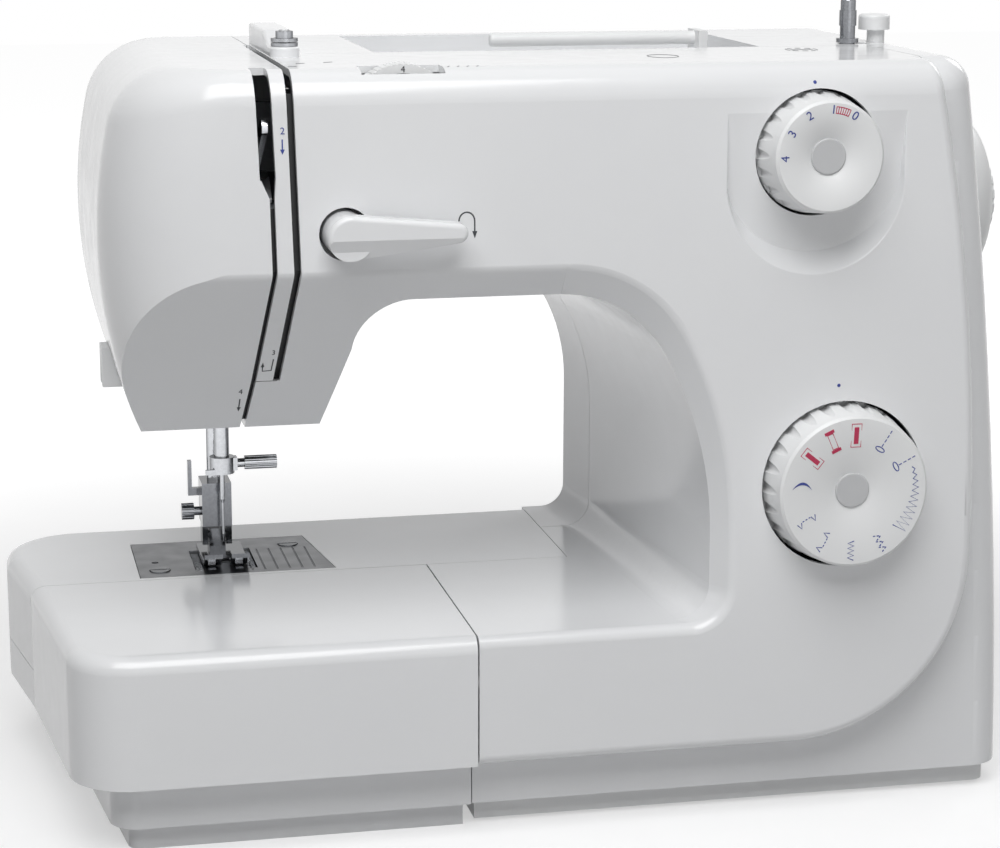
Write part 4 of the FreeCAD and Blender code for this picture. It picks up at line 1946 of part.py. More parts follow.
def build_spool_pin():
    pin = rod(X_AXIS, PIN_LEFT, PIN_Y, PIN_Z, PIN_R, PIN_RIGHT - PIN_LEFT + OVER)
    pin = pin.makeFillet(PIN_END_R, edges_where(pin, lambda b: b.XMax < PIN_LEFT + 0.1))
    pillar = box(
        PIN_RIGHT,
        PIN_RIGHT + PILLAR_T,
        PIN_Y - PILLAR_HALF,
        PIN_Y + PILLAR_HALF,
        TROUGH_LOW[2],
        PIN_Z + PILLAR_ABOVE,
    )
    return union(pin, pillar)


WINDER_TOP = 305.0
WINDER_DEEP = 10.0
WINDER_TIP_R = 1.5
FLANGE_R = 4.4
FLANGE_T = 1.6
FLANGE_GAP = 0.5
SPRING_RING_R = 3.4
SPRING_RING_Z = 294.0
SPRING_RING_H = 6.0
CARRIAGE_HALF = 8.0
CARRIAGE_LOW = 274.0
STOP_HEAD_R = 6.2
STOP_HEAD_SHIFT = 0.8
STOP_HEAD_Z = 292.0
STOP_HEAD_H = 6.0
STOP_EDGE_R = 1.2


def build_spindle():
    low = TOP - WINDER_DEEP
    pin = rod(Z_AXIS, WINDER_X, WINDER_Y, low, WINDER_R, WINDER_TOP - low)
    pin = pin.makeFillet(WINDER_TIP_R, edges_where(pin, lambda b: b.ZMin > WINDER_TOP - 0.1))
    flange = rod(Z_AXIS, WINDER_X, WINDER_Y, TOP + FLANGE_GAP, FLANGE_R, FLANGE_T)
    spring = rod(Z_AXIS, WINDER_X, WINDER_Y, SPRING_RING_Z, SPRING_RING_R, SPRING_RING_H)
    return union(pin, flange, spring)


def build_carriage():
    high = TOP - WALL - TOUCH
    block = box(
        WINDER_X - CARRIAGE_HALF,
        WINDER_X + CARRIAGE_HALF,
        WINDER_Y - CARRIAGE_HALF,
        WINDER_Y + CARRIAGE_HALF,
        CARRIAGE_LOW,
        high,
    )
    bore_length = high - CARRIAGE_LOW + 2 * OVER
    bore = rod(Z_AXIS, WINDER_X, WINDER_Y, CARRIAGE_LOW - OVER, WINDER_R + RUN, bore_length)
    return block.cut(bore)


def build_stop():
    low = TOP - WALL
    head_top = STOP_HEAD_Z + STOP_HEAD_H
    stem = rod(Z_AXIS, STOP_X, STOP_Y, low, STOP_STEM_R, STOP_HEAD_Z + OVER - low)
    head = rod(Z_AXIS, STOP_X - STOP_HEAD_SHIFT, STOP_Y, STOP_HEAD_Z, STOP_HEAD_R, STOP_HEAD_H)
    head = head.makeFillet(STOP_EDGE_R, edges_where(head, lambda b: b.ZMin > head_top - 0.1))
    return union(stem, head)


# Back and right-hand side
HANDLE_END_GAP = 4.0
HANDLE_LOW_GAP = 8.0
HANDLE_GRIP_H = 14.0
HANDLE_GRIP_R = 3.5
HANDLE_ARM_W = 8.0
HANDLE_ARM_IN = 2.0


def build_handle():
    y0 = GRIP_Y - GRIP_T / 2
    y1 = GRIP_Y + GRIP_T / 2
    left = GRIP_LOW[0] + HANDLE_END_GAP
    right = GRIP_HIGH[0] - HANDLE_END_GAP
    low = GRIP_LOW[2] + HANDLE_LOW_GAP
    grip = box(left, right, y0, y1, low, low + HANDLE_GRIP_H)
    grip = grip.makeFillet(HANDLE_GRIP_R, edges_where(grip, lambda b: b.XLength > 1))
    parts = [grip]
    for x in (left, right - HANDLE_ARM_W):
        parts.append(box(x, x + HANDLE_ARM_W, y0, y1, low + HANDLE_ARM_IN, GRIP_Z))
        parts.append(rod(X_AXIS, x, GRIP_Y, GRIP_Z, GRIP_T / 2, HANDLE_ARM_W))
    pin_length = HANDLE_END_GAP + WALL + OVER
    for x in (GRIP_LOW[0] - WALL, right - OVER):
        parts.append(rod(X_AXIS, x, GRIP_Y, GRIP_Z, GRIP_PIN_R, pin_length))
    return union(*parts)


INLET_Y0 = 60.0
INLET_Y1 = 88.0
INLET_Z0 = 26.0
INLET_Z1 = 54.0
INLET_OUT = 6.0
INLET_WALL_Y = 4.0
INLET_WALL_Z = 5.0
INLET_FLOOR = 1.5
INLET_PIN_APART = 10.0
INLET_PIN_R = 1.5
INLET_PIN_END = 5.0
SWITCH_Y = 112.0
SWITCH_Z = 40.0
SWITCH_AXIS_OUT = 3.0
SWITCH_AXIS_X = SIDE_LOW[0] + SWITCH_AXIS_OUT
SWITCH_PIN_R = 1.0
SWITCH_PIN_HALF = 10.7
BEZEL_OUT = 4.5
BEZEL_HALF = 12.0
ROCKER_HALF_Y = 8.0
ROCKER_HALF_Z = 8.3
ROCKER_GAP_Y = 1.0
ROCKER_GAP_Z = 0.5
ROCKER_BACK = 1.2
ROCKER_END_OUT = 3.6
ROCKER_MIDDLE_OUT = 2.4
BRIDGE_HALF = 6.0


def build_socket():
    """The mains inlet and, on the same moulding, the frame of the switch."""
    x = SIDE_LOW[0]
    body = box(x, x + INLET_OUT, INLET_Y0, INLET_Y1, INLET_Z0, INLET_Z1)
    opening = box(
        x + INLET_FLOOR,
        x + INLET_OUT + OVER,
        INLET_Y0 + INLET_WALL_Y,
        INLET_Y1 - INLET_WALL_Y,
        INLET_Z0 + INLET_WALL_Z,
        INLET_Z1 - INLET_WALL_Z,
    )
    first_pin = (INLET_Y0 + INLET_Y1 - INLET_PIN_APART) / 2
    pins = []
    for y in (first_pin, first_pin + INLET_PIN_APART):
        pins.append(rod(X_AXIS, x + OVER, y, SWITCH_Z, INLET_PIN_R, INLET_PIN_END - OVER))
    bezel_y0 = SWITCH_Y - BEZEL_HALF
    bezel_y1 = SWITCH_Y + BEZEL_HALF
    bezel = box(x, x + BEZEL_OUT, bezel_y0, bezel_y1, SWITCH_Z - BEZEL_HALF, SWITCH_Z + BEZEL_HALF)
    half_y = ROCKER_HALF_Y + ROCKER_GAP_Y
    half_z = ROCKER_HALF_Z + ROCKER_GAP_Z
    window = box(
        x - OVER,
        x + BEZEL_OUT + OVER,
        SWITCH_Y - half_y,
        SWITCH_Y + half_y,
        SWITCH_Z - half_z,
        SWITCH_Z + half_z,
    )
    pivot_half = SWITCH_PIN_HALF + TOUCH
    pivot = rod(Z_AXIS, SWITCH_AXIS_X, SWITCH_Y, SWITCH_Z - pivot_half, SWITCH_PIN_R + RUN, 2 * pivot_half)
    bridge = box(
        x, x + INLET_FLOOR, INLET_Y1 - OVER, bezel_y0 + OVER, SWITCH_Z - BRIDGE_HALF, SWITCH_Z + BRIDGE_HALF
    )
    return cut(union(body.cut(opening), bezel, bridge, *pins), window, pivot)


def build_switch():
    x = SWITCH_AXIS_X
    outline = [
        (x - ROCKER_BACK, SWITCH_Y - ROCKER_HALF_Y),
        (x + ROCKER_END_OUT, SWITCH_Y - ROCKER_HALF_Y),
        (x + ROCKER_MIDDLE_OUT, SWITCH_Y),
        (x + ROCKER_END_OUT, SWITCH_Y + ROCKER_HALF_Y),
        (x - ROCKER_BACK, SWITCH_Y + ROCKER_HALF_Y),
    ]
    rocker = xy_prism(outline, SWITCH_Z - ROCKER_HALF_Z, SWITCH_Z + ROCKER_HALF_Z)
    pin = rod(Z_AXIS, x, SWITCH_Y, SWITCH_Z - SWITCH_PIN_HALF, SWITCH_PIN_R, 2 * SWITCH_PIN_HALF)
    return union(rocker, pin)


# Screws that hold the rear cover, as (X, Z) places on the back
COVER_SCREWS = ((92.0, 30.0), (190.0, 30.0), (150.0, 150.0), (160.0, 255.0), (-40.0, 225.0))
COVER_HEAD_R = 4.0
COVER_HEAD_T = 1.6
CROSS_HALF = 2.5
CROSS_W = 1.0
CROSS_DEEP = 0.9


def build_cover_screws():
    screws = []
    for x, z in COVER_SCREWS:
        head = rod(Y_AXIS, x, REAR, z, COVER_HEAD_R, COVER_HEAD_T)
        deep = REAR + COVER_HEAD_T - CROSS_DEEP
        out = REAR + COVER_HEAD_T + OVER
        across = box(x - CROSS_HALF, x + CROSS_HALF, deep, out, z - CROSS_W / 2, z + CROSS_W / 2)
        upright = box(x - CROSS_W / 2, x + CROSS_W / 2, deep, out, z - CROSS_HALF, z + CROSS_HALF)
        screws.append(cut(head, across, upright))
    return Part.makeCompound(screws)


pieces = {}
pieces["front_cover"], pieces["rear_cover"], pieces["face_cover"] = build_casing()
pieces["accessory_box"] = build_box()
pieces["free_arm_cover"], pieces["free_arm_base"] = build_free_arm()
pieces["shuttle_cover"] = build_door()
pieces["base_plate"] = build_base()
pieces["rubber_feet"] = build_feet()
pieces["main_frame"] = build_frame()
pieces["shaft_bushes"] = build_bushes()
pieces["control_plate"] = build_control_plate()
pieces["crankshaft"] = build_crankshaft()
pieces["needle_bar_link"] = build_link()
pieces["needle_bar"] = build_needle_bar()
pieces["needle_clamp"] = build_needle_clamp()
pieces["needle_clamp_screw"] = build_clamp_screw()
pieces["needle"] = build_needle()
pieces["presser_bar"] = build_presser_bar()
pieces["presser_spring"] = build_presser_spring()
pieces["presser_ankle"] = build_ankle()
pieces["foot_thumb_screw"] = build_foot_screw()
pieces["presser_foot"] = build_foot()
pieces["presser_lifter"] = build_lifter()
pieces["take_up_lever"] = build_take_up()
pieces["lamp_bulb"] = build_bulb()
pieces["thread_cutter"] = build_cutter()
pieces["needle_plate"] = build_plate()
pieces["plate_screws"] = build_plate_screws()
pieces["feed_dog"] = build_feed_dog()
pieces["hook_race"] = build_race()
pieces["race_ring"] = build_race_ring()
pieces["shuttle_hook"] = build_hook()
pieces["bobbin_case"] = build_bobbin_case()
pieces["bobbin"] = build_bobbin()
pieces["hook_shaft"] = build_hook_shaft()
pieces["hook_gear"] = build_hook_gear()
pieces["handwheel"] = build_wheel()
pieces["clutch_knob"] = build_knob()
pieces["shaft_pulley"] = grooved_pulley(SHAFT_Z, SHAFT_GROOVE_R, SHAFT_R + RUN)
pieces["motor_pulley"] = build_motor_pulley()
pieces["motor"] = build_motor()
pieces["drive_belt"] = build_belt()
pieces["stitch_length_dial"] = build_dial(
    UPPER_DIAL_X, UPPER_DIAL_Z, UPPER_DIAL_R, UPPER_FLUTES, UPPER_FLUTE_R
)
pieces["stitch_length_cap"] = build_cap(UPPER_DIAL_X, UPPER_DIAL_Z)
pieces["pattern_dial"] = union(
    build_dial(LOWER_DIAL_X, LOWER_DIAL_Z, LOWER_DIAL_R, LOWER_FLUTES, LOWER_FLUTE_R),
    build_pattern_cam(),
)
pieces["pattern_cap"] = build_cap(LOWER_DIAL_X, LOWER_DIAL_Z)
pieces["reverse_lever"] = build_lever()
pieces["tension_dial"] = build_tension_dial()
pieces["tension_discs"] = build_tension_stack()
pieces["top_thread_guide"] = build_top_guide()
pieces["guide_discs"] = build_guide_discs()
pieces["spool_pin"] = build_spool_pin()
pieces["winder_spindle"] = build_spindle()
pieces["winder_carriage"] = build_carriage()
pieces["winder_stop"] = build_stop()
pieces["carry_handle"] = build_handle()
pieces["inlet_socket"] = build_socket()
pieces["power_switch"] = build_switch()
pieces["cover_screws"] = build_cover_screws()

# The row's origin is the bottom centre of the whole machine
ORIGIN_X = (BED_LEFT + KNOB_RIGHT) / 2
ORIGIN_Y = (LEVER_FRONT + LIFTER_END_Y + LIFTER_END_R) / 2
TO_ORIGIN = V(-ORIGIN_X, -ORIGIN_Y, 0)

os.makedirs("parts", exist_ok=True)
for name, piece in pieces.items():
    piece.translate(TO_ORIGIN)
    piece.exportStep("parts/" + name + ".step")
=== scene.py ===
import logging
import math
from dataclasses import dataclass
from enum import Enum
from typing import Optional, Sequence, Union

import bpy
from mathutils import Matrix, Vector


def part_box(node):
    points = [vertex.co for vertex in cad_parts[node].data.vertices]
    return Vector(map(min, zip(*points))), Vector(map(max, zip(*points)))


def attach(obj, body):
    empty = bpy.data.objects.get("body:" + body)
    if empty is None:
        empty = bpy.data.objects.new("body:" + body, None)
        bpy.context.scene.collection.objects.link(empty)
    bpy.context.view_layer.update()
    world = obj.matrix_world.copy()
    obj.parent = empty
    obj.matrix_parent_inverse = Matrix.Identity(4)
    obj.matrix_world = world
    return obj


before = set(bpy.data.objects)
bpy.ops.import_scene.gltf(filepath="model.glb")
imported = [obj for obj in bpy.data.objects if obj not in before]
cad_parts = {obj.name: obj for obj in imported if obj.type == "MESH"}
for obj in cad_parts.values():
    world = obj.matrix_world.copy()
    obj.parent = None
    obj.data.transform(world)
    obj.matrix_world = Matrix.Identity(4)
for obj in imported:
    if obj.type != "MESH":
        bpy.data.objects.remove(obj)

LOG = logging.getLogger("sewing_machine")
MM = 0.001

# The drawings of the machine start at the seam between its box and its front cover. This is
# the way from there to the middle of the whole machine, in millimetres.
SEAM_TO_MIDDLE = Vector((-37.0, -76.75, 0.0))

# Height of a printed line over the surface, in millimetres, drawn thick enough to show
INK_RISE = 0.12

# The front of the casing and the top of the arm, in millimetres from the seam
FRONT_Y = -20.0
TOP_Z = 287.0

# How far in front of a drawing the surface under it is looked for, in metres
NEAR_REACH = 0.03
FAR_REACH = 0.08

# Corners round a printed dot
DOT_CORNERS = 24

# Points of a print that lie closer than this, in millimetres, are made one
MERGE = 0.001

# Height of a figure as a share of the font's size
FIGURE_SHARE = 0.7

# The band of strength in which nearly all of a noise pattern lies
NOISE_LOW = 0.3
NOISE_HIGH = 0.7

Piece = bpy.types.Object
Tree = bpy.types.NodeTree
Socket = bpy.types.NodeSocket
Point = tuple[float, float]
Place = tuple[float, float, float]
Value = Union[float, int, str, bool, Sequence[float]]


def seam(x: float, y: float, z: float) -> Vector:
    """Turns millimetres from the seam (right, back, up) into metres in the machine's own frame."""
    return (Vector((x, y, z)) + SEAM_TO_MIDDLE) * MM


def linear(code: str) -> tuple[float, float, float, float]:
    """Turns an sRGB colour code into the linear colour that shaders use.

    Args:
        code: Six hex digits, such as "E9EAEC".

    Returns:
        Red, green, blue and an alpha of 1.
    """
    channels = []
    for start in (0, 2, 4):
        value = int(code[start:start + 2], 16) / 255
        channels.append(value / 12.92 if value <= 0.04045 else ((value + 0.055) / 1.055) ** 2.4)
    return (channels[0], channels[1], channels[2], 1.0)


def add_node(
    tree: Tree,
    kind: str,
    settings: Optional[dict[Union[str, int], Value]] = None,
    links: Optional[dict[Union[str, int], Socket]] = None,
) -> bpy.types.Node:
    """Adds one node with its settings and the links into it.

    Args:
        tree: The node tree that takes the node.
        kind: The node's type name.
        settings: Values by the name of a property, or by the name or number of an input.
        links: Output sockets by the name or number of the input they feed.

    Returns:
        The new node.
    """
    node = tree.nodes.new(kind)
    for key, value in (settings or {}).items():
        if isinstance(key, str) and key in node.bl_rna.properties:
            setattr(node, key, value)
        else:
            node.inputs[key].default_value = value
    for key, socket in (links or {}).items():
        tree.links.new(socket, node.inputs[key])
    return node


def new_material(name: str) -> tuple[bpy.types.Material, Tree, Socket]:
    """Starts a node material that is empty apart from the place on the object.

    Args:
        name: The material's name.

    Returns:
        The material, its node tree and the place on the object.
    """
    material = bpy.data.materials.new(name)
    material.use_nodes = True
    tree = material.node_tree
    tree.nodes.clear()
    return material, tree, add_node(tree, "ShaderNodeTexCoord").outputs["Object"]


def finish_surface(tree: Tree, shader: bpy.types.Node) -> None:
    """Leads a shader to the material's output."""
    add_node(tree, "ShaderNodeOutputMaterial", links={"Surface": shader.outputs[0]})


def noise(
    tree: Tree, place: Socket, size_mm: float, detail: float, roughness: float = 0.5
) -> Socket:
    """Adds a noise pattern with patches of a size in millimetres and gives its strength."""
    settings = {"Scale": 1 / (size_mm * MM), "Detail": detail, "Roughness": roughness}
    return add_node(tree, "ShaderNodeTexNoise", settings, {"Vector": place}).outputs["Fac"]


def blend(tree: Tree, first: str, second: str, share: Socket) -> Socket:
    """Mixes two colour codes by a share of the second one."""
    settings = {"data_type": "RGBA", 6: linear(first), 7: linear(second)}
    return add_node(tree, "ShaderNodeMix", settings, {"Factor": share}).outputs[2]


def spread(tree: Tree, pattern: Socket, middle: float, half: float) -> Socket:
    """Spreads a noise pattern over a range, from its middle to half its width either way."""
    settings = {
        "From Min": NOISE_LOW, "From Max": NOISE_HIGH, "To Min": middle - half, "To Max": middle + half,
    }
    return add_node(tree, "ShaderNodeMapRange", settings, {"Value": pattern}).outputs["Result"]


def relief(
    tree: Tree, pattern: Socket, height_mm: float, under: Optional[Socket] = None
) -> Socket:
    """Adds a relief.

    Args:
        tree: The node tree that takes it.
        pattern: The pattern that gives the height.
        height_mm: The relief's height in millimetres.
        under: The normal of a coarser relief that it lies on.

    Returns:
        The normal.
    """
    links = {"Height": pattern}
    if under:
        links["Normal"] = under
    settings = {"Strength": 1.0, "Distance": height_mm * MM}
    return add_node(tree, "ShaderNodeBump", settings, links).outputs["Normal"]


@dataclass(frozen=True)
class MouldedPlastic:
    """ABS moulded in a steel tool.

    It gives the eye a clean pale skin: one colour that drifts a little as the melt flowed, a
    gloss that varies slightly, and either the slow ripple of a polished tool or the fine grain
    of a spark-eroded one.
    """

    name: str
    colour: str
    drift: str
    roughness: float
    roughness_spread: float
    ripple_mm: float
    ripple_height_mm: float
    grain_mm: float
    grain_height_mm: float
    ior: float = 1.52
    drift_mm: float = 60.0

    def make(self) -> bpy.types.Material:
        """Builds the material."""
        material, tree, place = new_material(self.name)
        flow = noise(tree, place, self.drift_mm, 3.0, 0.55)
        ripple = noise(tree, place, self.ripple_mm, 1.0)
        grain = noise(tree, place, self.grain_mm, 2.0)
        waves = relief(tree, ripple, self.ripple_height_mm)
        shader = add_node(
            tree, "ShaderNodeBsdfPrincipled",
            {"IOR": self.ior},
            {
                "Base Color": blend(tree, self.colour, self.drift, flow),
                "Roughness": spread(tree, ripple, self.roughness, self.roughness_spread),
                "Normal": relief(tree, grain, self.grain_height_mm, waves),
            },
        )
        finish_surface(tree, shader)
        return material


@dataclass(frozen=True)
class WorkedMetal:
    """Metal that was turned, ground or plated.

    It gives the eye a reflection drawn out along the way it was worked, with faint smears
    where fingers and cloth have touched it, and its colour is painted darker where it turns away, as
    painted shade.
    """

    name: str
    colour: str
    drift: str
    roughness: float
    roughness_spread: float
    line_mm: float
    line_height_mm: float
    run: tuple[float, float, float] = (1.0, 1.0, 1.0)
    smear_mm: float = 9.0
    # Painted shade: the dark grey that the colour is mixed towards where the surface turns away from the
    # eye, and the band and share of that mix
    painted_edge_shade: str = "34363A"
    painted_shade_from: float = 0.22
    painted_shade_to: float = 0.75
    painted_shade_share: float = 0.9

    def make(self) -> bpy.types.Material:
        """Builds the material."""
        material, tree, place = new_material(self.name)
        drawn = add_node(tree, "ShaderNodeMapping", {"Scale": self.run}, {"Vector": place})
        lines = noise(tree, drawn.outputs["Vector"], self.line_mm, 3.0, 0.6)
        smear = noise(tree, place, self.smear_mm, 2.0)
        colour = blend(tree, self.colour, self.drift, lines)
        # Painted shade: the colour darkens towards the grazing edges, by how far the surface faces away
        # from the eye
        facing = add_node(tree, "ShaderNodeLayerWeight", {"Blend": 0.5})
        away = add_node(
            tree, "ShaderNodeMapRange",
            {"From Min": self.painted_shade_from, "From Max": self.painted_shade_to, "To Max": self.painted_shade_share},
            {"Value": facing.outputs["Facing"]},
        )
        shaded = add_node(
            tree, "ShaderNodeMix",
            {"data_type": "RGBA", 7: linear(self.painted_edge_shade)},
            {"Factor": away.outputs["Result"], 6: colour},
        )
        shader = add_node(
            tree, "ShaderNodeBsdfPrincipled",
            {"Metallic": 1.0},
            {
                "Base Color": shaded.outputs[2],
                "Roughness": spread(tree, smear, self.roughness, self.roughness_spread),
                "Normal": relief(tree, lines, self.line_height_mm),
            },
        )
        finish_surface(tree, shader)
        return material


@dataclass(frozen=True)
class BulbGlass:
    """Blown glass of a small lamp, slightly frosted on the inside.

    It gives the eye a milky body with a clear bright edge.
    """

    name: str
    colour: str
    drift: str
    roughness: float = 0.18
    frost_mm: float = 2.5
    ior: float = 1.5
    clearness: float = 0.75

    def make(self) -> bpy.types.Material:
        """Builds the material."""
        material, tree, place = new_material(self.name)
        frost = noise(tree, place, self.frost_mm, 2.0)
        shader = add_node(
            tree, "ShaderNodeBsdfPrincipled",
            {"Roughness": self.roughness, "IOR": self.ior, "Transmission Weight": self.clearness},
            {"Base Color": blend(tree, self.colour, self.drift, frost)},
        )
        finish_surface(tree, shader)
        return material


@dataclass(frozen=True)
class PadPrint:
    """Ink laid on by a soft pad.

    It gives the eye a flat dull line whose cover thins a little from place to place.
    """

    name: str
    colour: str
    thin: str
    roughness: float = 0.55
    cover_mm: float = 0.8

    def make(self) -> bpy.types.Material:
        """Builds the material."""
        material, tree, place = new_material(self.name)
        cover = noise(tree, place, self.cover_mm, 2.0)
        shader = add_node(
            tree, "ShaderNodeBsdfPrincipled",
            {"Roughness": self.roughness},
            {"Base Color": blend(tree, self.colour, self.thin, cover)},
        )
        finish_surface(tree, shader)
        return material


class Finish(Enum):
    """The finishes of the machine, each named for its material and how it was made, or for the painted
    light in its colour.
    """

    GLOSS_ABS = MouldedPlastic(
        "gloss_white_abs", "ECEDEE", "E7E8EA", 0.16, 0.03, 14.0, 0.006, 1.6, 0.0010
    )
    SATIN_ABS = MouldedPlastic(
        "satin_white_abs", "EFF0F0", "E8E9EA", 0.36, 0.04, 9.0, 0.006, 0.7, 0.004
    )
    GREY_ABS = MouldedPlastic(
        "satin_grey_abs", "CACBCC", "C1C2C4", 0.42, 0.05, 8.0, 0.006, 0.6, 0.006
    )
    BLACK_NYLON = MouldedPlastic(
        "moulded_black_nylon", "1B1C1E", "141517", 0.44, 0.06, 8.0, 0.006, 0.6, 0.010
    )
    RUBBER = MouldedPlastic(
        "moulded_black_rubber", "222222", "1A1A1B", 0.78, 0.06, 6.0, 0.010, 0.5, 0.020, 1.5
    )
    CHROME = WorkedMetal(
        "polished_chrome_plate", "D3D5D8", "B4B6BA", 0.13, 0.05, 1.2, 0.0008
    )
    # Chrome like the one above with its colour painted darker, a painted reflection of dark surroundings
    DARK_CHROME = WorkedMetal(
        "chrome_plate_painted_dark", "9EA0A4", "7B7D81", 0.12, 0.04, 1.0, 0.0010
    )
    STEEL = WorkedMetal(
        "turned_bright_steel", "BEC0C3", "A6A8AC", 0.28, 0.07, 0.35, 0.002, (1.0, 1.0, 0.12)
    )
    PLATE_STEEL = WorkedMetal(
        "brushed_nickel_plate", "C7C8CA", "AEB0B3", 0.33, 0.05, 0.28, 0.003, (0.06, 1.0, 1.0)
    )
    CASTING = WorkedMetal(
        "sand_cast_aluminium", "A4A7AA", "8B8E92", 0.52, 0.08, 1.4, 0.060
    )
    BRONZE = WorkedMetal(
        "sintered_bronze", "B08A52", "8E6C3C", 0.40, 0.07, 0.5, 0.010
    )
    GLASS = BulbGlass("frosted_lamp_glass", "F4F1EA", "EAE6DC")
    BLUE_INK = PadPrint("blue_pad_print", "2A3A86", "3A4992")
    RED_INK = PadPrint("red_pad_print", "B3224A", "BF3A5C")
    DARK_INK = PadPrint("dark_pad_print", "2B2D31", "3B3D41")

    def material(self) -> bpy.types.Material:
        """Gives the finish's material, built the first time it is asked for."""
        found = bpy.data.materials.get(self.value.name)
        return found if found else self.value.make()


# What each CAD node is made of
NODE_FINISH: dict[Finish, tuple[str, ...]] = {
    Finish.GLOSS_ABS: (
        "front_cover", "rear_cover", "face_cover", "accessory_box", "free_arm_cover",
        "free_arm_base", "shuttle_cover", "top_thread_guide", "reverse_lever", "carry_handle",
    ),
    Finish.SATIN_ABS: (
        "base_plate", "handwheel", "clutch_knob", "stitch_length_dial", "pattern_dial",
        "tension_dial", "thread_cutter", "winder_stop", "spool_pin",
    ),
    Finish.GREY_ABS: ("stitch_length_cap", "pattern_cap", "winder_carriage"),
    Finish.BLACK_NYLON: ("inlet_socket", "power_switch", "shaft_pulley", "motor"),
    Finish.RUBBER: ("drive_belt", "rubber_feet"),
    Finish.CHROME: (
        "needle_bar", "needle_bar_link", "needle_clamp", "needle_clamp_screw", "needle",
        "presser_bar", "take_up_lever", "race_ring", "bobbin_case", "bobbin",
    ),
    Finish.DARK_CHROME: (
        "winder_spindle", "presser_foot", "presser_ankle", "foot_thumb_screw",
    ),
    Finish.PLATE_STEEL: ("needle_plate",),
    Finish.STEEL: (
        "control_plate", "crankshaft", "presser_spring", "presser_lifter", "plate_screws",
        "feed_dog", "hook_race", "shuttle_hook", "hook_shaft", "hook_gear", "motor_pulley",
        "tension_discs", "guide_discs", "cover_screws",
    ),
    Finish.CASTING: ("main_frame",),
    Finish.BRONZE: ("shaft_bushes",),
    Finish.GLASS: ("lamp_bulb",),
}


class Bench:
    """The hand tools that the sub-assemblies share."""

    @staticmethod
    def only(piece: Piece) -> None:
        """Selects one object, makes it active and deselects everything else."""
        bpy.ops.object.select_all(action="DESELECT")
        piece.select_set(True)
        bpy.context.view_layer.objects.active = piece

    @staticmethod
    def settle(piece: Piece) -> None:
        """Moves an object's place, turn and scale into its mesh."""
        Bench.only(piece)
        bpy.ops.object.transform_apply(location=True, rotation=True, scale=True)

    @staticmethod
    def join(pieces: Sequence[Piece], name: str) -> Piece:
        """Joins several meshes into one.

        Args:
            pieces: The objects to join.
            name: The name of the joined piece.

        Returns:
            The joined object.
        """
        Bench.only(pieces[0])
        for piece in pieces:
            piece.select_set(True)
        bpy.ops.object.join()
        pieces[0].name = name
        pieces[0].data.name = name
        return pieces[0]

    @staticmethod
    def edit_all(piece: Piece) -> None:
        """Opens an object for editing with all of it selected."""
        Bench.only(piece)
        bpy.ops.object.mode_set(mode="EDIT")
        bpy.ops.mesh.select_all(action="SELECT")

    @staticmethod
    def close_edit() -> None:
        """Goes back from editing a mesh."""
        bpy.ops.object.mode_set(mode="OBJECT")

    @staticmethod
    def merge(piece: Piece) -> None:
        """Makes points that lie on each other one."""
        Bench.edit_all(piece)
        bpy.ops.mesh.remove_doubles(threshold=MERGE * MM)
        Bench.close_edit()

    @staticmethod
    def apply(piece: Piece, kind: str, settings: dict[str, Value]) -> None:
        """Adds a modifier and applies it.

        Args:
            piece: The object to shape.
            kind: The modifier's type.
            settings: The modifier's properties by name.
        """
        Bench.only(piece)
        modifier = piece.modifiers.new(kind.lower(), kind)
        for key, value in settings.items():
            setattr(modifier, key, value)
        bpy.ops.object.modifier_apply(modifier=modifier.name)

    @staticmethod
    def dress(
        piece: Piece, body: str, finish: Finish, smooth: float = 30.0
    ) -> Piece:
        """Gives a piece its finish and the body that it moves with.

        Args:
            piece: The finished mesh.
            body: The body that carries it.
            finish: Its finish.
            smooth: Edges flatter than this many degrees are shaded smooth.

        Returns:
            The same piece.
        """
        Bench.only(piece)
        bpy.ops.object.shade_smooth_by_angle(angle=math.radians(smooth))
        piece.data.materials.clear()
        piece.data.materials.append(finish.material())
        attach(piece, body)
        LOG.info("%s rides on %s in %s", piece.name, body, finish.value.name)
        return piece


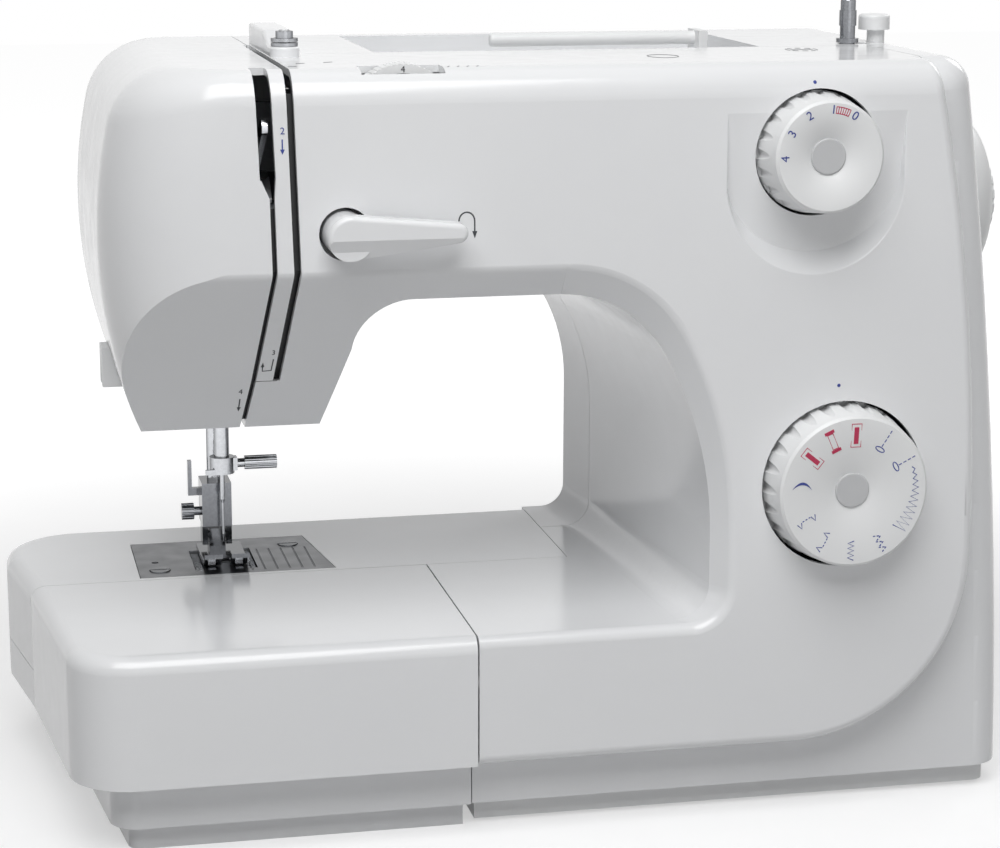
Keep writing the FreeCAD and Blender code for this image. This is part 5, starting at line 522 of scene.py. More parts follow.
class Printer:
    """Draws flat marks in millimetres, with x to the right, y up and z out of the surface."""

    @staticmethod
    def drawn(name: str, points: Sequence[Point], closed: bool, settings: dict[str, Value]) -> Piece:
        """Draws straight runs as a curve and turns it into a mesh.

        Args:
            name: The piece's name.
            points: The corners in millimetres.
            closed: Whether the curve returns to its start.
            settings: The curve's properties by name.

        Returns:
            The mesh.
        """
        curve = bpy.data.curves.new(name, "CURVE")
        for key, value in settings.items():
            setattr(curve, key, value)
        spline = curve.splines.new("POLY")
        spline.points.add(len(points) - 1)
        for target, (x, y) in zip(spline.points, points):
            target.co = (x * MM, y * MM, 0.0, 1.0)
        spline.use_cyclic_u = closed
        piece = bpy.data.objects.new(name, curve)
        bpy.context.scene.collection.objects.link(piece)
        Bench.only(piece)
        bpy.ops.object.convert(target="MESH")
        return bpy.context.view_layer.objects.active

    @staticmethod
    def line(points: Sequence[Point], width: float, closed: bool = False) -> Piece:
        """Draws one line of ink.

        Args:
            points: The corners that the line passes.
            width: The line's width in millimetres.
            closed: Whether the line returns to its start.

        Returns:
            The line as a flat mesh.
        """
        settings = {
            "dimensions": "3D",
            "bevel_depth": width * MM / 2,
            "bevel_resolution": 1,
            "use_fill_caps": not closed,
        }
        piece = Printer.drawn("ink_line", points, closed, settings)
        Bench.edit_all(piece)
        bpy.ops.transform.resize(value=(1.0, 1.0, 2 * INK_RISE / width))
        Bench.close_edit()
        Bench.merge(piece)
        return piece

    @staticmethod
    def patch(points: Sequence[Point]) -> Piece:
        """Fills an outline with ink.

        Args:
            points: The outline's corners in order.

        Returns:
            The patch as a thin closed mesh.
        """
        settings = {"dimensions": "2D", "fill_mode": "BOTH", "extrude": INK_RISE * MM}
        piece = Printer.drawn("ink_patch", points, True, settings)
        Bench.merge(piece)
        return piece

    @staticmethod
    def dot(radius: float) -> Piece:
        """Draws a round dot with a softened edge.

        Args:
            radius: Its radius in millimetres.

        Returns:
            The dot's mesh.
        """
        bpy.ops.object.select_all(action="DESELECT")
        bpy.ops.mesh.primitive_cylinder_add(
            vertices=DOT_CORNERS, radius=radius * MM, depth=2 * INK_RISE * MM, location=(0.0, 0.0, 0.0)
        )
        piece = bpy.context.view_layer.objects.active
        Bench.edit_all(piece)
        bpy.ops.mesh.bevel(offset=INK_RISE * MM / 2, segments=2)
        Bench.close_edit()
        return piece

    @staticmethod
    def figure(text: str, height: float, turn: float, x: float, y: float) -> Piece:
        """Prints a plain figure.

        Args:
            text: The figure.
            height: Its height in millimetres.
            turn: Degrees clockwise from upright.
            x: The place of its middle to the right.
            y: The place of its middle upwards.

        Returns:
            The figure's mesh.
        """
        bpy.ops.object.select_all(action="DESELECT")
        bpy.ops.object.text_add(location=(0.0, 0.0, 0.0))
        piece = bpy.context.view_layer.objects.active
        piece.data.body = text
        piece.data.size = height * MM / FIGURE_SHARE
        piece.data.align_x = "CENTER"
        piece.data.align_y = "CENTER"
        piece.data.extrude = INK_RISE * MM
        piece.data.resolution_u = 6
        bpy.ops.object.convert(target="MESH")
        piece = bpy.context.view_layer.objects.active
        piece.matrix_world = (
            Matrix.Translation((x * MM, y * MM, 0.0)) @ Matrix.Rotation(-math.radians(turn), 4, "Z")
        )
        Bench.settle(piece)
        Bench.merge(piece)
        return piece

    @staticmethod
    def figure_ring(
        figures: Sequence[tuple[str, float]], height: float, radius: float
    ) -> list[Piece]:
        """Prints figures round a dial, each with its top away from the middle.

        Args:
            figures: Each figure and its angle in degrees clockwise from the top.
            height: Their height in millimetres.
            radius: How far they stand from the dial's middle.

        Returns:
            The figures' meshes.
        """
        ring = []
        for text, angle in figures:
            x, y = polar(angle, radius)
            ring.append(Printer.figure(text, height, angle, x, y))
        return ring

    @staticmethod
    def lay(piece: Piece, node: str, stance: Matrix, reach: float = NEAR_REACH) -> None:
        """Lays flat ink on the surface of a CAD node.

        Args:
            piece: The flat mesh, with z out of the surface.
            node: The node that carries the ink.
            stance: Where the drawing's origin and axes stand in the machine.
            reach: How far in front of the stance the surface is looked for, in metres.
        """
        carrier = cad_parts[node]
        out = stance.to_3x3() @ Vector((0.0, 0.0, 1.0))
        depths = {}
        for vertex in piece.data.vertices:
            flat = stance @ Vector((vertex.co.x, vertex.co.y, 0.0))
            found, place, _, _ = carrier.ray_cast(flat + out * reach, -out, distance=2 * reach)
            if found:
                depths[vertex.index] = (place - flat).dot(out)
        usual = sum(depths.values()) / max(len(depths), 1)
        missed = len(piece.data.vertices) - len(depths)
        if missed:
            LOG.warning("%s: %d points beside %s", piece.name, missed, node)
        for vertex in piece.data.vertices:
            flat = stance @ Vector((vertex.co.x, vertex.co.y, 0.0))
            vertex.co = flat + out * (depths.get(vertex.index, usual) + vertex.co.z)

    @staticmethod
    def print_on(
        marks: Sequence[Piece],
        name: str,
        carrier: tuple[str, str],
        stance: Matrix,
        ink: Finish,
        reach: float = NEAR_REACH,
    ) -> None:
        """Joins marks into one print and lays it on a node.

        Args:
            marks: The flat marks.
            name: The print's name.
            carrier: The node that carries the print and the body that the node moves with.
            stance: Where the drawing's origin and axes stand in the machine.
            ink: The print's ink.
            reach: How far in front of the stance the surface is looked for, in metres.
        """
        node, body = carrier
        print_piece = Bench.join(marks, name)
        Printer.lay(print_piece, node, stance, reach)
        Bench.dress(print_piece, body, ink)

    @staticmethod
    def facing_front(x: float, z: float) -> Matrix:
        """Gives the stance of a drawing on the front, with its origin at a place from the seam."""
        return Matrix.Translation(seam(x, FRONT_Y, z)) @ Matrix.Rotation(math.pi / 2, 4, "X")

    @staticmethod
    def facing_up(z: float = TOP_Z) -> Matrix:
        """Gives the stance of a drawing that lies flat at a height, with its origin at the seam."""
        return Matrix.Translation(seam(0.0, 0.0, z))

    @staticmethod
    def on_dial(node: str) -> Matrix:
        """Gives the stance of a drawing on a dial that faces the front.

        Args:
            node: The dial's node.

        Returns:
            The stance, with its origin in the middle of the dial.
        """
        low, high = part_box(node)
        middle = (low + high) / 2
        return Matrix.Translation((middle.x, low.y, middle.z)) @ Matrix.Rotation(math.pi / 2, 4, "X")


def polar(angle: float, radius: float) -> Point:
    """Gives a place on a dial from degrees clockwise from the top and millimetres out."""
    turn = math.radians(angle)
    return (radius * math.sin(turn), radius * math.cos(turn))


def turned(points: Sequence[Point], angle: float, radius: float) -> list[Point]:
    """Carries a small drawing out to a place on a dial, with its top away from the middle.

    Args:
        points: The drawing's points about its own middle.
        angle: Degrees clockwise from the top of the dial.
        radius: Millimetres from the dial's middle.

    Returns:
        The points on the dial.
    """
    across = math.cos(math.radians(angle))
    along = math.sin(math.radians(angle))
    moved = []
    for x, y in points:
        y += radius
        moved.append((x * across + y * along, y * across - x * along))
    return moved


def on_oval(turn: float, middle: Point, wide: float, high: float) -> Point:
    """Gives a place on an oval from an angle in radians, its middle and its half sizes."""
    return (middle[0] + wide * math.cos(turn), middle[1] + high * math.sin(turn))


def oval(middle: Point, wide: float, high: float, steps: int) -> list[Point]:
    """Gives the corners of a closed oval."""
    return [on_oval(2 * math.pi * step / steps, middle, wide, high) for step in range(steps)]


def upright_box(half: float, low: float, high: float) -> list[Point]:
    """Gives the corners of a box from its half width and the heights of its ends."""
    return [(-half, low), (half, low), (half, high), (-half, high)]


def dashes(x: float, start: float, pitch: float, length: float, count: int) -> list[list[Point]]:
    """Gives the ends of a row of upright dashes, each a pitch on from the one before."""
    starts = [start + index * pitch for index in range(count)]
    return [[(x, low), (x, low + length)] for low in starts]


@dataclass
class Dressing:
    """Gives every CAD node its finish."""

    finishes: dict[Finish, tuple[str, ...]]

    def dress(self) -> None:
        """Sets each node's material slots."""
        for finish, names in self.finishes.items():
            for name in names:
                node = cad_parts[name]
                if not node.material_slots:
                    node.data.materials.append(finish.material())
                for slot in node.material_slots:
                    slot.material = finish.material()
                LOG.info("%s in %s", name, finish.value.name)


@dataclass
class StitchLengthDial:
    """The upper dial: figures for the length of the stitch and a mark for buttonholes."""

    carrier: tuple[str, str] = ("stitch_length_dial", "length_knob")
    figure_radius: float = 16.9
    figure_height: float = 3.2
    figures: tuple[tuple[str, float], ...] = (
        ("0", 31.0), ("1", 2.0), ("2", -29.0), ("3", -59.5), ("4", -91.0),
    )
    buttonhole_from: float = 5.5
    buttonhole_to: float = 23.0
    buttonhole_height: float = 2.4
    bar_count: int = 6
    line_width: float = 0.35

    def build(self) -> None:
        """Prints the dial."""
        stance = Printer.on_dial(self.carrier[0])
        figures = Printer.figure_ring(self.figures, self.figure_height, self.figure_radius)
        Printer.print_on(figures, "stitch_length_figures", self.carrier, stance, Finish.BLUE_INK)
        low = self.figure_radius - self.buttonhole_height / 2
        high = self.figure_radius + self.buttonhole_height / 2
        pitch = (self.buttonhole_to - self.buttonhole_from) / self.bar_count
        angles = [self.buttonhole_from + pitch * step for step in range(self.bar_count + 1)]
        ways = [[polar(angle, radius) for angle in angles] for radius in (low, high)]
        ways += [[polar(angle, low), polar(angle, high)] for angle in angles]
        strokes = [Printer.line(way, self.line_width) for way in ways]
        Printer.print_on(strokes, "stitch_length_buttonhole", self.carrier, stance, Finish.RED_INK)


@dataclass
class PatternDial:
    """The lower dial: a ring of plain stitch signs."""

    carrier: tuple[str, str] = ("pattern_dial", "pattern_knob")
    line_width: float = 0.42
    hole_angles: tuple[float, float, float] = (-51.4, -24.7, 0.3)
    hole_radius: float = 21.2
    hole_half_length: float = 4.4
    hole_half_width: float = 1.9
    core_half_width: float = 0.9
    core_inset: float = 1.2
    tack_step: int = 1
    tack_half_width: float = 1.1
    tack_inset: float = 1.4
    tack_height: float = 1.2
    moon_angle: float = -85.5
    moon_radius: float = 20.3
    moon_half: float = 3.9
    moon_sag: float = 1.9
    moon_thick: float = 1.0
    moon_steps: int = 10
    wedge_from: float = 69.0
    wedge_to: float = 131.0
    wedge_radius: float = 24.2
    wedge_teeth: int = 11
    wedge_narrow: float = 0.8
    wedge_wide: float = 5.6
    wedge_inward: float = 0.35
    straight_angles: tuple[float, float] = (31.6, 61.5)
    straight_radius: float = 18.2
    straight_dashes: tuple[float, float, float, int] = (1.2, 1.9, 1.25, 4)
    needle_half: Point = (1.9, 0.8)
    needle_steps: int = 14
    zigzag_start: float = -3.6
    broken_place: Point = (152.0, 22.8)
    broken_runs: int = 6
    broken_half: float = 1.3
    broken_pitch: float = 1.2
    broken_dash: Point = (0.62, 0.36)
    tight_place: Point = (182.0, 22.5)
    tight_points: int = 9
    tight_half: float = 1.2
    tight_pitch: float = 0.9
    hem_places: tuple[tuple[float, float, float], ...] = ((-150.0, 21.9, 1.0), (-118.0, 20.9, -1.0))
    hem_peaks: tuple[float, float] = (-4.0, 2.0)
    hem_width: float = 2.2
    hem_rise: float = 0.9
    hem_dashes: tuple[float, float, float, int] = (-1.9, 1.35, 0.75, 3)

    def buttonholes(self) -> list[Piece]:
        """Draws the three steps of a buttonhole: two seams and the tacks at both ends."""
        long = self.hole_half_length
        wide = self.hole_half_width
        core = long - self.core_inset
        tack = long - self.tack_height
        inner = long - self.tack_inset
        strokes = []
        for index, angle in enumerate(self.hole_angles):
            if index == self.tack_step:
                outline = upright_box(self.tack_half_width, -inner, inner)
                fills = (upright_box(wide, -long, -tack), upright_box(wide, tack, long))
            else:
                outline = upright_box(wide, -long, long)
                fills = (upright_box(self.core_half_width, -core, core),)
            strokes.append(Printer.line(turned(outline, angle, self.hole_radius), self.line_width, True))
            for fill in fills:
                strokes.append(Printer.patch(turned(fill, angle, self.hole_radius)))
        return strokes

    def moon(self) -> Piece:
        """Draws the filled crescent of the satin-stitch sign."""
        outer = []
        inner = []
        for step in range(self.moon_steps + 1):
            share = 2 * step / self.moon_steps - 1
            rise = self.moon_sag * (1 - share * share)
            along = self.moon_half * share
            outer.append((rise + self.moon_thick * (1 - share * share), along))
            inner.append((rise, along))
        return Printer.patch(turned(outer + inner[-2:0:-1], self.moon_angle, self.moon_radius))

    def wedge(self) -> Piece:
        """Draws the zigzag that widens round the dial."""
        points = []
        count = 2 * self.wedge_teeth
        for step in range(count + 1):
            share = step / count
            angle = self.wedge_from + (self.wedge_to - self.wedge_from) * share
            swing = (self.wedge_narrow + (self.wedge_wide - self.wedge_narrow) * share) / 2
            side = swing if step % 2 else -swing
            points.append(polar(angle, self.wedge_radius - swing * self.wedge_inward + side))
        return Printer.line(points, self.line_width)

    def strokes_at(self, ways: Sequence[Sequence[Point]], angle: float, radius: float) -> list[Piece]:
        """Draws open lines about a place on the dial, at an angle and a radius."""
        return [Printer.line(turned(way, angle, radius), self.line_width) for way in ways]

    def straight_signs(self) -> list[Piece]:
        """Draws the two straight-stitch signs: a needle position and a run of dashes."""
        strokes = []
        radius = self.straight_radius
        for angle in self.straight_angles:
            needle = turned(oval((0.0, 0.0), *self.needle_half, self.needle_steps), angle, radius)
            strokes.append(Printer.line(needle, self.line_width, True))
            strokes += self.strokes_at(dashes(0.0, *self.straight_dashes), angle, radius)
        return strokes

    def zigzag_signs(self) -> list[Piece]:
        """Draws the broken zigzag and the tight zigzag."""
        broken = []
        for run in range(self.broken_runs):
            side = -self.broken_half if run % 2 else self.broken_half
            for dash in range(2):
                x = side * (1 - dash)
                y = self.zigzag_start + (run + dash / 2) * self.broken_pitch
                broken.append([(x, y), (x - self.broken_dash[0] * side, y + self.broken_dash[1])])
        tight = []
        for step in range(self.tight_points):
            side = self.tight_half if step % 2 else -self.tight_half
            tight.append((side, self.zigzag_start + step * self.tight_pitch))
        return self.strokes_at(broken, *self.broken_place) + self.strokes_at([tight], *self.tight_place)

    def hem_signs(self) -> list[Piece]:
        """Draws the two blind-hem signs: dashes between two peaks."""
        strokes = []
        for angle, radius, side in self.hem_places:
            tip = side * self.hem_width
            ways = [
                [(0.0, low), (tip, low + self.hem_rise), (0.0, low + 2 * self.hem_rise)]
                for low in self.hem_peaks
            ]
            ways += dashes(0.0, *self.hem_dashes)
            strokes += self.strokes_at(ways, angle, radius)
        return strokes

    def build(self) -> None:
        """Prints the dial."""
        stance = Printer.on_dial(self.carrier[0])
        red = self.buttonholes()
        Printer.print_on(red, "pattern_buttonhole_signs", self.carrier, stance, Finish.RED_INK)
        blue = [self.moon(), self.wedge()]
        blue += self.straight_signs() + self.zigzag_signs() + self.hem_signs()
        Printer.print_on(blue, "pattern_stitch_signs", self.carrier, stance, Finish.BLUE_INK)


@dataclass
class TensionDial:
    """The thread-tension dial: figures round its front and the ring under them."""

    carrier: tuple[str, str] = ("tension_dial", "tension_knob")
    figure_radius: float = 17.0
    figure_height: float = 2.3
    figures: tuple[tuple[str, float], ...] = (
        ("1", -135.0), ("2", -90.0), ("3", -45.0), ("4", 0.0),
        ("5", 45.0), ("6", 90.0), ("7", 135.0),
    )
    ring_radius: float = 15.5
    ring_steps: int = 48
    line_width: float = 0.4

    def build(self) -> None:
        """Prints the dial's front."""
        stance = Printer.on_dial(self.carrier[0])
        marks = Printer.figure_ring(self.figures, self.figure_height, self.figure_radius)
        turns = [360 * step / self.ring_steps for step in range(self.ring_steps)]
        ring = [polar(turn, self.ring_radius) for turn in turns]
        marks.append(Printer.line(ring, self.line_width, True))
        Printer.print_on(marks, "tension_figures", self.carrier, stance, Finish.DARK_INK)


@dataclass
class PlateLines:
    """The dark seam-guide lines in the grooves of the needle plate."""

    carrier: tuple[str, str] = ("needle_plate", "machine")
    needle_x: float = -80.0
    offsets: tuple[float, ...] = (10.0, 15.0, 20.0, 25.0, 30.0, 35.0)
    front: float = 90.3
    rear: float = 121.7
    top: float = 79.0
    width: float = 0.42

    def build(self) -> None:
        """Fills the grooves with ink."""
        places = [self.needle_x + offset for offset in self.offsets]
        lines = [Printer.line([(x, self.front), (x, self.rear)], self.width) for x in places]
        stance = Printer.facing_up(self.top)
        Printer.print_on(lines, "seam_guide_lines", self.carrier, stance, Finish.DARK_INK)


@dataclass
class SlotShadeSheets:
    """Dark sheets behind the two thread slots of the face, painted shade for the insides of the slots.
    """

    body: str = "machine"
    width: float = 7.0
    thickness: float = 1.0
    edge: float = 0.25
    edge_steps: int = 2
    level: float = 0.01
    right_path: tuple[Place, ...] = (
        (-67.0, -15.0, 279.0), (-65.0, -15.0, 217.0), (-68.4, 22.5, 171.0),
    )
    left_path: tuple[Place, ...] = (
        (-73.6, -15.0, 239.0), (-73.0, -15.0, 217.0), (-76.8, 22.5, 171.0), (-79.0, 38.0, 153.0),
    )

    def ribbon(self, path: Sequence[Place], name: str) -> Piece:
        """Draws one dark sheet out along its way.

        Args:
            path: The places the channel passes, from the seam in millimetres.
            name: The piece's name.

        Returns:
            The sheet's mesh.
        """
        bpy.ops.object.select_all(action="DESELECT")
        bpy.ops.mesh.primitive_plane_add(size=self.width * MM, location=(0.0, 0.0, 0.0))
        piece = bpy.context.view_layer.objects.active
        piece.name = name
        across = Vector((self.width * MM / 2, 0.0, 0.0))
        corners = [seam(*place) + side for place in path[:2] for side in (-across, across)]
        for vertex, corner in zip(piece.data.vertices, corners):
            vertex.co = corner
        Bench.edit_all(piece)
        for before, after in zip(path[1:], path[2:]):
            bpy.ops.mesh.select_all(action="DESELECT")
            bpy.ops.object.mode_set(mode="OBJECT")
            for vertex in piece.data.vertices:
                vertex.select = abs(vertex.co.z - before[2] * MM) < self.level * MM
            bpy.ops.object.mode_set(mode="EDIT")
            bpy.ops.mesh.extrude_region_move(
                TRANSFORM_OT_translate={"value": seam(*after) - seam(*before)}
            )
        Bench.close_edit()
        Bench.apply(piece, "SOLIDIFY", {"thickness": self.thickness * MM, "offset": 0.0})
        Bench.apply(piece, "BEVEL", {"width": self.edge * MM, "segments": self.edge_steps})
        return piece

    def build(self) -> None:
        """Sets both dark sheets behind the face as painted shade."""
        # Painted shade: dark sheets that darken the insides of the thread slots
        paths = {"slot_shade_sheet_down": self.right_path, "slot_shade_sheet_up": self.left_path}
        for name, path in paths.items():
            Bench.dress(self.ribbon(path, name), self.body, Finish.BLACK_NYLON)


@dataclass(frozen=True)
class ThreadArrow:
    """A numbered arrow along the thread's way down the face, in millimetres from the seam."""

    name: str
    way: tuple[Point, ...]
    head: tuple[Point, ...]
    figure: str
    figure_height: float
    figure_place: Point
    ink: Finish
    reach: float
    width: float = 0.5
    carrier: tuple[str, str] = ("face_cover", "machine")

    def build(self) -> None:
        """Prints the arrow and its figure."""
        marks = [
            Printer.line(self.way, self.width),
            Printer.patch(self.head),
            Printer.figure(self.figure, self.figure_height, 0.0, *self.figure_place),
        ]
        stance = Printer.facing_front(0.0, 0.0)
        Printer.print_on(marks, self.name, self.carrier, stance, self.ink, self.reach)


@dataclass
class CasingPrints:
    """The small marks on the covers: pointers, threading arrows and the reverse sign."""

    carrier: tuple[str, str] = ("front_cover", "machine")
    pointer_radius: float = 0.65
    pointers: tuple[Point, Point] = ((123.7, 280.1), (135.9, 168.2))
    reverse_left: float = -7.5
    reverse_right: float = -1.8
    reverse_top: float = 236.6
    reverse_spring: float = 233.4
    reverse_tip: float = 227.2
    reverse_width: float = 0.55
    reverse_head: Point = (0.9, 2.6)
    reverse_steps: int = 12
    reverse_dashes: tuple[float, float, float, int] = (232.0, -1.8, -1.1, 3)
    arrows: tuple[ThreadArrow, ...] = (
        ThreadArrow(
            "thread_arrow_down",
            ((-69.8, 263.7), (-69.8, 260.0)),
            ((-70.6, 260.2), (-69.8, 258.4), (-69.0, 260.2)),
            "2", 2.4, (-69.7, 266.5), Finish.BLUE_INK, NEAR_REACH,
        ),
        ThreadArrow(
            "thread_arrow_turn",
            ((-70.4, 180.6), (-70.8, 175.6), (-74.0, 175.4), (-74.1, 177.4)),
            ((-74.75, 177.2), (-73.45, 177.3), (-74.1, 179.3)),
            "3", 2.0, (-70.6, 183.4), Finish.DARK_INK, FAR_REACH,
        ),
        ThreadArrow(
            "thread_arrow_low",
            ((-81.2, 163.2), (-81.35, 159.2)),
            ((-82.1, 159.4), (-81.4, 157.4), (-80.6, 159.4)),
            "4", 2.2, (-81.2, 166.4), Finish.DARK_INK, FAR_REACH,
        ),
    )
    top_width: float = 0.5
    tick_count: int = 4
    tick_start: Point = (-9.4, -9.6)
    tick_pitch: float = 3.5
    tick_reach: Point = (0.9, 1.6)
    slants: tuple[Point, ...] = ((-63.2, 0.5), (-58.5, 13.5), (-48.0, 16.8))
    slant_half: Point = (1.6, 0.8)
    ring_middle: Point = (78.0, 21.0)
    ring_half: Point = (5.6, 7.5)
    ring_steps: int = 24
    winder_middle: Point = (139.0, 42.0)
    winder_half: Point = (6.0, 7.0)
    winder_dashes: int = 10
    winder_sweep: float = 0.38
    winder_bar: float = 4.5

    def dial_pointers(self) -> None:
        """Prints the dot over each dial."""
        node, body = self.carrier
        dots = []
        for x, z in self.pointers:
            dot = Printer.dot(self.pointer_radius)
            Printer.lay(dot, node, Printer.facing_front(x, z))
            dots.append(dot)
        Bench.dress(Bench.join(dots, "dial_pointers"), body, Finish.BLUE_INK)

    def reverse_sign(self) -> None:
        """Prints the arrow that turns back, beside the reverse lever."""
        middle = (self.reverse_left + self.reverse_right) / 2
        half = (self.reverse_right - self.reverse_left) / 2
        rise = self.reverse_top - self.reverse_spring
        wide, high = self.reverse_head
        neck = self.reverse_tip + high
        turns = [math.pi * (1 - step / self.reverse_steps) for step in range(self.reverse_steps + 1)]
        arch = [on_oval(turn, (0.0, self.reverse_spring), half, rise) for turn in turns]
        marks = [Printer.line(arch + [(half, neck)], self.reverse_width)]
        for dash in dashes(-half, *self.reverse_dashes):
            marks.append(Printer.line(dash, self.reverse_width))
        marks.append(Printer.patch([(half - wide, neck), (half, self.reverse_tip), (half + wide, neck)]))
        stance = Printer.facing_front(middle, 0.0)
        Printer.print_on(marks, "reverse_sign", self.carrier, stance, Finish.DARK_INK)

    def thread_path_signs(self) -> None:
        """Prints the ticks beside the tension dial and the signs along the thread's way."""
        width = self.top_width
        ways = []
        for index in range(self.tick_count):
            x = self.tick_start[0] + index * self.tick_pitch
            y = self.tick_start[1]
            ways.append([(x, y), (x + self.tick_reach[0], y + self.tick_reach[1])])
        wide, high = self.slant_half
        for x, y in self.slants:
            ways.append([(x - wide, y - high), (x + wide, y + high)])
        marks = [Printer.line(way, width) for way in ways]
        ring = oval(self.ring_middle, *self.ring_half, self.ring_steps)
        marks.append(Printer.line(ring, width, True))
        stance = Printer.facing_up()
        Printer.print_on(marks, "thread_path_signs", self.carrier, stance, Finish.DARK_INK)

    def winder_sign(self) -> None:
        """Prints the broken ring and the bar of the bobbin-winder sign."""
        ways = []
        for step in range(self.winder_dashes):
            turn = 2 * math.pi * step / self.winder_dashes
            ends = (turn, turn + self.winder_sweep)
            ways.append([on_oval(end, self.winder_middle, *self.winder_half) for end in ends])
        x, y = self.winder_middle
        ways.append([(x - self.winder_bar, y), (x + self.winder_bar, y)])
        marks = [Printer.line(way, self.top_width) for way in ways]
        stance = Printer.facing_up()
        Printer.print_on(marks, "winder_sign", self.carrier, stance, Finish.DARK_INK)

    def build(self) -> None:
        """Prints all the marks on the casing."""
        self.dial_pointers()
        self.reverse_sign()
        for arrow in self.arrows:
            arrow.build()
        self.thread_path_signs()
        self.winder_sign()


@dataclass(frozen=True)
class SoftBox:
    """A square lamp behind white cloth, with its place and side in metres and power in watts."""

    name: str
    place: Place
    side: float
    power: float

    def hang(self, target: Vector) -> None:
        """Hangs the lamp so that it points at a place.

        Args:
            target: The place in metres.
        """
        data = bpy.data.lights.new(self.name, "AREA")
        data.shape = "SQUARE"
        data.size = self.side
        data.energy = self.power
        lamp = bpy.data.objects.new(self.name, data)
        lamp.location = self.place
        lamp.rotation_euler = (target - lamp.location).to_track_quat("-Z", "Y").to_euler()
        bpy.context.scene.collection.objects.link(lamp)


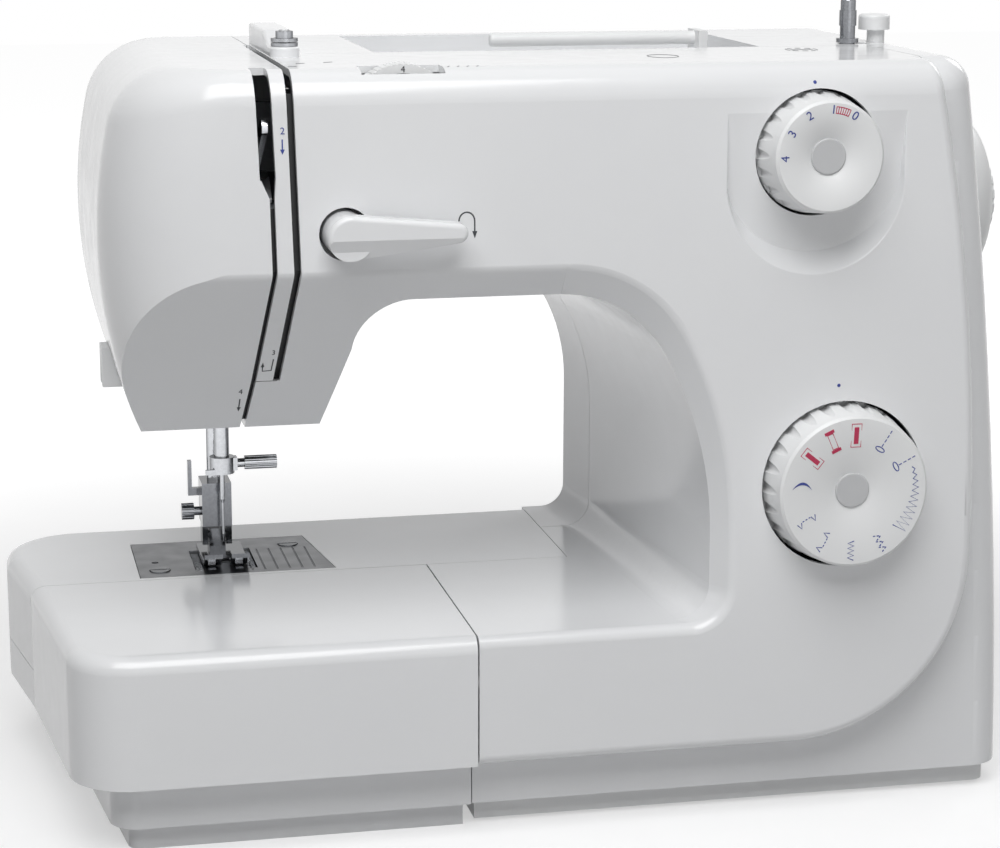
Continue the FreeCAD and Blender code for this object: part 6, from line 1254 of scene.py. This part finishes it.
@dataclass
class Studio:
    """A pale floor, soft light and the camera at the photograph's viewing angle."""

    focal_px: float = 2600.0
    picture_px: float = 1000.0
    sensor_mm: float = 36.0
    yaw: float = 12.3
    pitch: float = 12.5
    roll: float = 0.1
    eye_mm: Place = (-224.6, -991.45, 362.4)
    clip_near: float = 0.02
    clip_far: float = 50.0
    floor_size: float = 8.0
    floor_colour: str = "C8C8C8"
    floor_drift: str = "C3C3C4"
    fibre_mm: float = 25.0
    # Painted light: the floor's glow for camera rays and reflections, weak near the machine and strong
    # far from it
    glow_near: float = 0.50
    glow_far: float = 0.92
    near: float = 0.25
    far: float = 0.80
    world_light: float = 0.10
    lit_place: Place = (0.0, 0.0, 0.15)
    lamps: tuple[SoftBox, ...] = (
        SoftBox("key_box", (-0.25, -0.75, 1.25), 1.0, 15.0),
        SoftBox("top_box", (0.1, 0.15, 1.5), 1.0, 1.0),
        SoftBox("fill_box", (0.3, -1.8, 0.4), 1.2, 2.2),
        SoftBox("rear_box", (1.3, 0.9, 1.1), 0.7, 4.5),
    )

    def camera(self) -> None:
        """Sets up the camera."""
        data = bpy.data.cameras.new("camera")
        data.sensor_width = self.sensor_mm
        data.lens = self.focal_px * self.sensor_mm / self.picture_px
        data.clip_start = self.clip_near
        data.clip_end = self.clip_far
        eye = bpy.data.objects.new("camera", data)
        turn = (
            Matrix.Rotation(-math.radians(self.yaw), 4, "Z")
            @ Matrix.Rotation(math.radians(90.0 - self.pitch), 4, "X")
            @ Matrix.Rotation(math.radians(self.roll), 4, "Z")
        )
        eye.matrix_world = Matrix.Translation(Vector(self.eye_mm) * MM) @ turn
        bpy.context.scene.collection.objects.link(eye)
        bpy.context.scene.camera = eye

    def floor(self) -> None:
        """Lays the pale floor, which glows as painted light so that it reads as white to the eye, and
        keeps the shadow.
        """
        bpy.ops.object.select_all(action="DESELECT")
        bpy.ops.mesh.primitive_plane_add(size=self.floor_size)
        plane = bpy.context.view_layer.objects.active
        plane.name = "floor"
        # Matt paper: a dull even white with faint fibres, plus painted light: for camera rays and
        # reflections it glows, weakly near the machine so its shadow still shows, and more strongly
        # towards the backdrop
        material, tree, place = new_material("studio_paper_with_painted_glow")
        fibre = noise(tree, place, self.fibre_mm, 2.0)
        colour = blend(tree, self.floor_colour, self.floor_drift, fibre)
        matt = add_node(tree, "ShaderNodeBsdfDiffuse", None, {"Color": colour})
        away = add_node(tree, "ShaderNodeVectorMath", {"operation": "LENGTH"}, {0: place})
        rise = add_node(
            tree, "ShaderNodeMapRange",
            {
                "interpolation_type": "SMOOTHSTEP",
                "From Min": self.near,
                "From Max": self.far,
                "To Min": self.glow_near,
                "To Max": self.glow_far,
            },
            {"Value": away.outputs["Value"]},
        )
        # Painted light: the floor's glow, seen only by camera rays and reflections
        glow = add_node(tree, "ShaderNodeEmission", None, {"Strength": rise.outputs["Result"]})
        lit = add_node(tree, "ShaderNodeAddShader", None, {0: matt.outputs[0], 1: glow.outputs[0]})
        mixed = add_node(
            tree, "ShaderNodeMixShader", None,
            {"Fac": self.seen_directly(tree), 1: matt.outputs[0], 2: lit.outputs[0]},
        )
        finish_surface(tree, mixed)
        plane.data.materials.append(material)

    @staticmethod
    def seen_directly(tree: Tree) -> Socket:
        """Gives 1 for rays from the camera, from mirrors and through glass, and 0 for light.

        Args:
            tree: The node tree that takes the nodes.

        Returns:
            The share.
        """
        path = add_node(tree, "ShaderNodeLightPath")
        share = path.outputs["Is Camera Ray"]
        for ray in ("Is Glossy Ray", "Is Transmission Ray"):
            links = {0: share, 1: path.outputs[ray]}
            share = add_node(tree, "ShaderNodeMath", {"operation": "MAXIMUM"}, links).outputs[0]
        return share

    def world(self) -> None:
        """Sets a white surround that lights the object softly."""
        world = bpy.data.worlds.new("white_surround")
        bpy.context.scene.world = world
        world.use_nodes = True
        tree = world.node_tree
        tree.nodes.clear()
        white = linear("FFFFFF")
        light = add_node(tree, "ShaderNodeBackground", {"Color": white, "Strength": self.world_light})
        backdrop = add_node(tree, "ShaderNodeBackground", {"Color": white, "Strength": 1.0})
        mixed = add_node(
            tree, "ShaderNodeMixShader", None,
            {"Fac": self.seen_directly(tree), 1: light.outputs[0], 2: backdrop.outputs[0]},
        )
        add_node(tree, "ShaderNodeOutputWorld", links={"Surface": mixed.outputs[0]})

    def build(self) -> None:
        """Sets up the whole studio."""
        bpy.context.scene.view_settings.view_transform = "Standard"
        self.camera()
        self.world()
        self.floor()
        for lamp in self.lamps:
            lamp.hang(Vector(self.lit_place))


def main() -> None:
    """Builds the sub-assemblies in order."""
    logging.basicConfig(level=logging.INFO, format="%(message)s")
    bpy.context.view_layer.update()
    bpy.ops.object.select_all(action="DESELECT")
    Studio().build()
    Dressing(NODE_FINISH).dress()
    StitchLengthDial().build()
    PatternDial().build()
    TensionDial().build()
    PlateLines().build()
    SlotShadeSheets().build()
    CasingPrints().build()


if __name__ == "__main__":
    main()
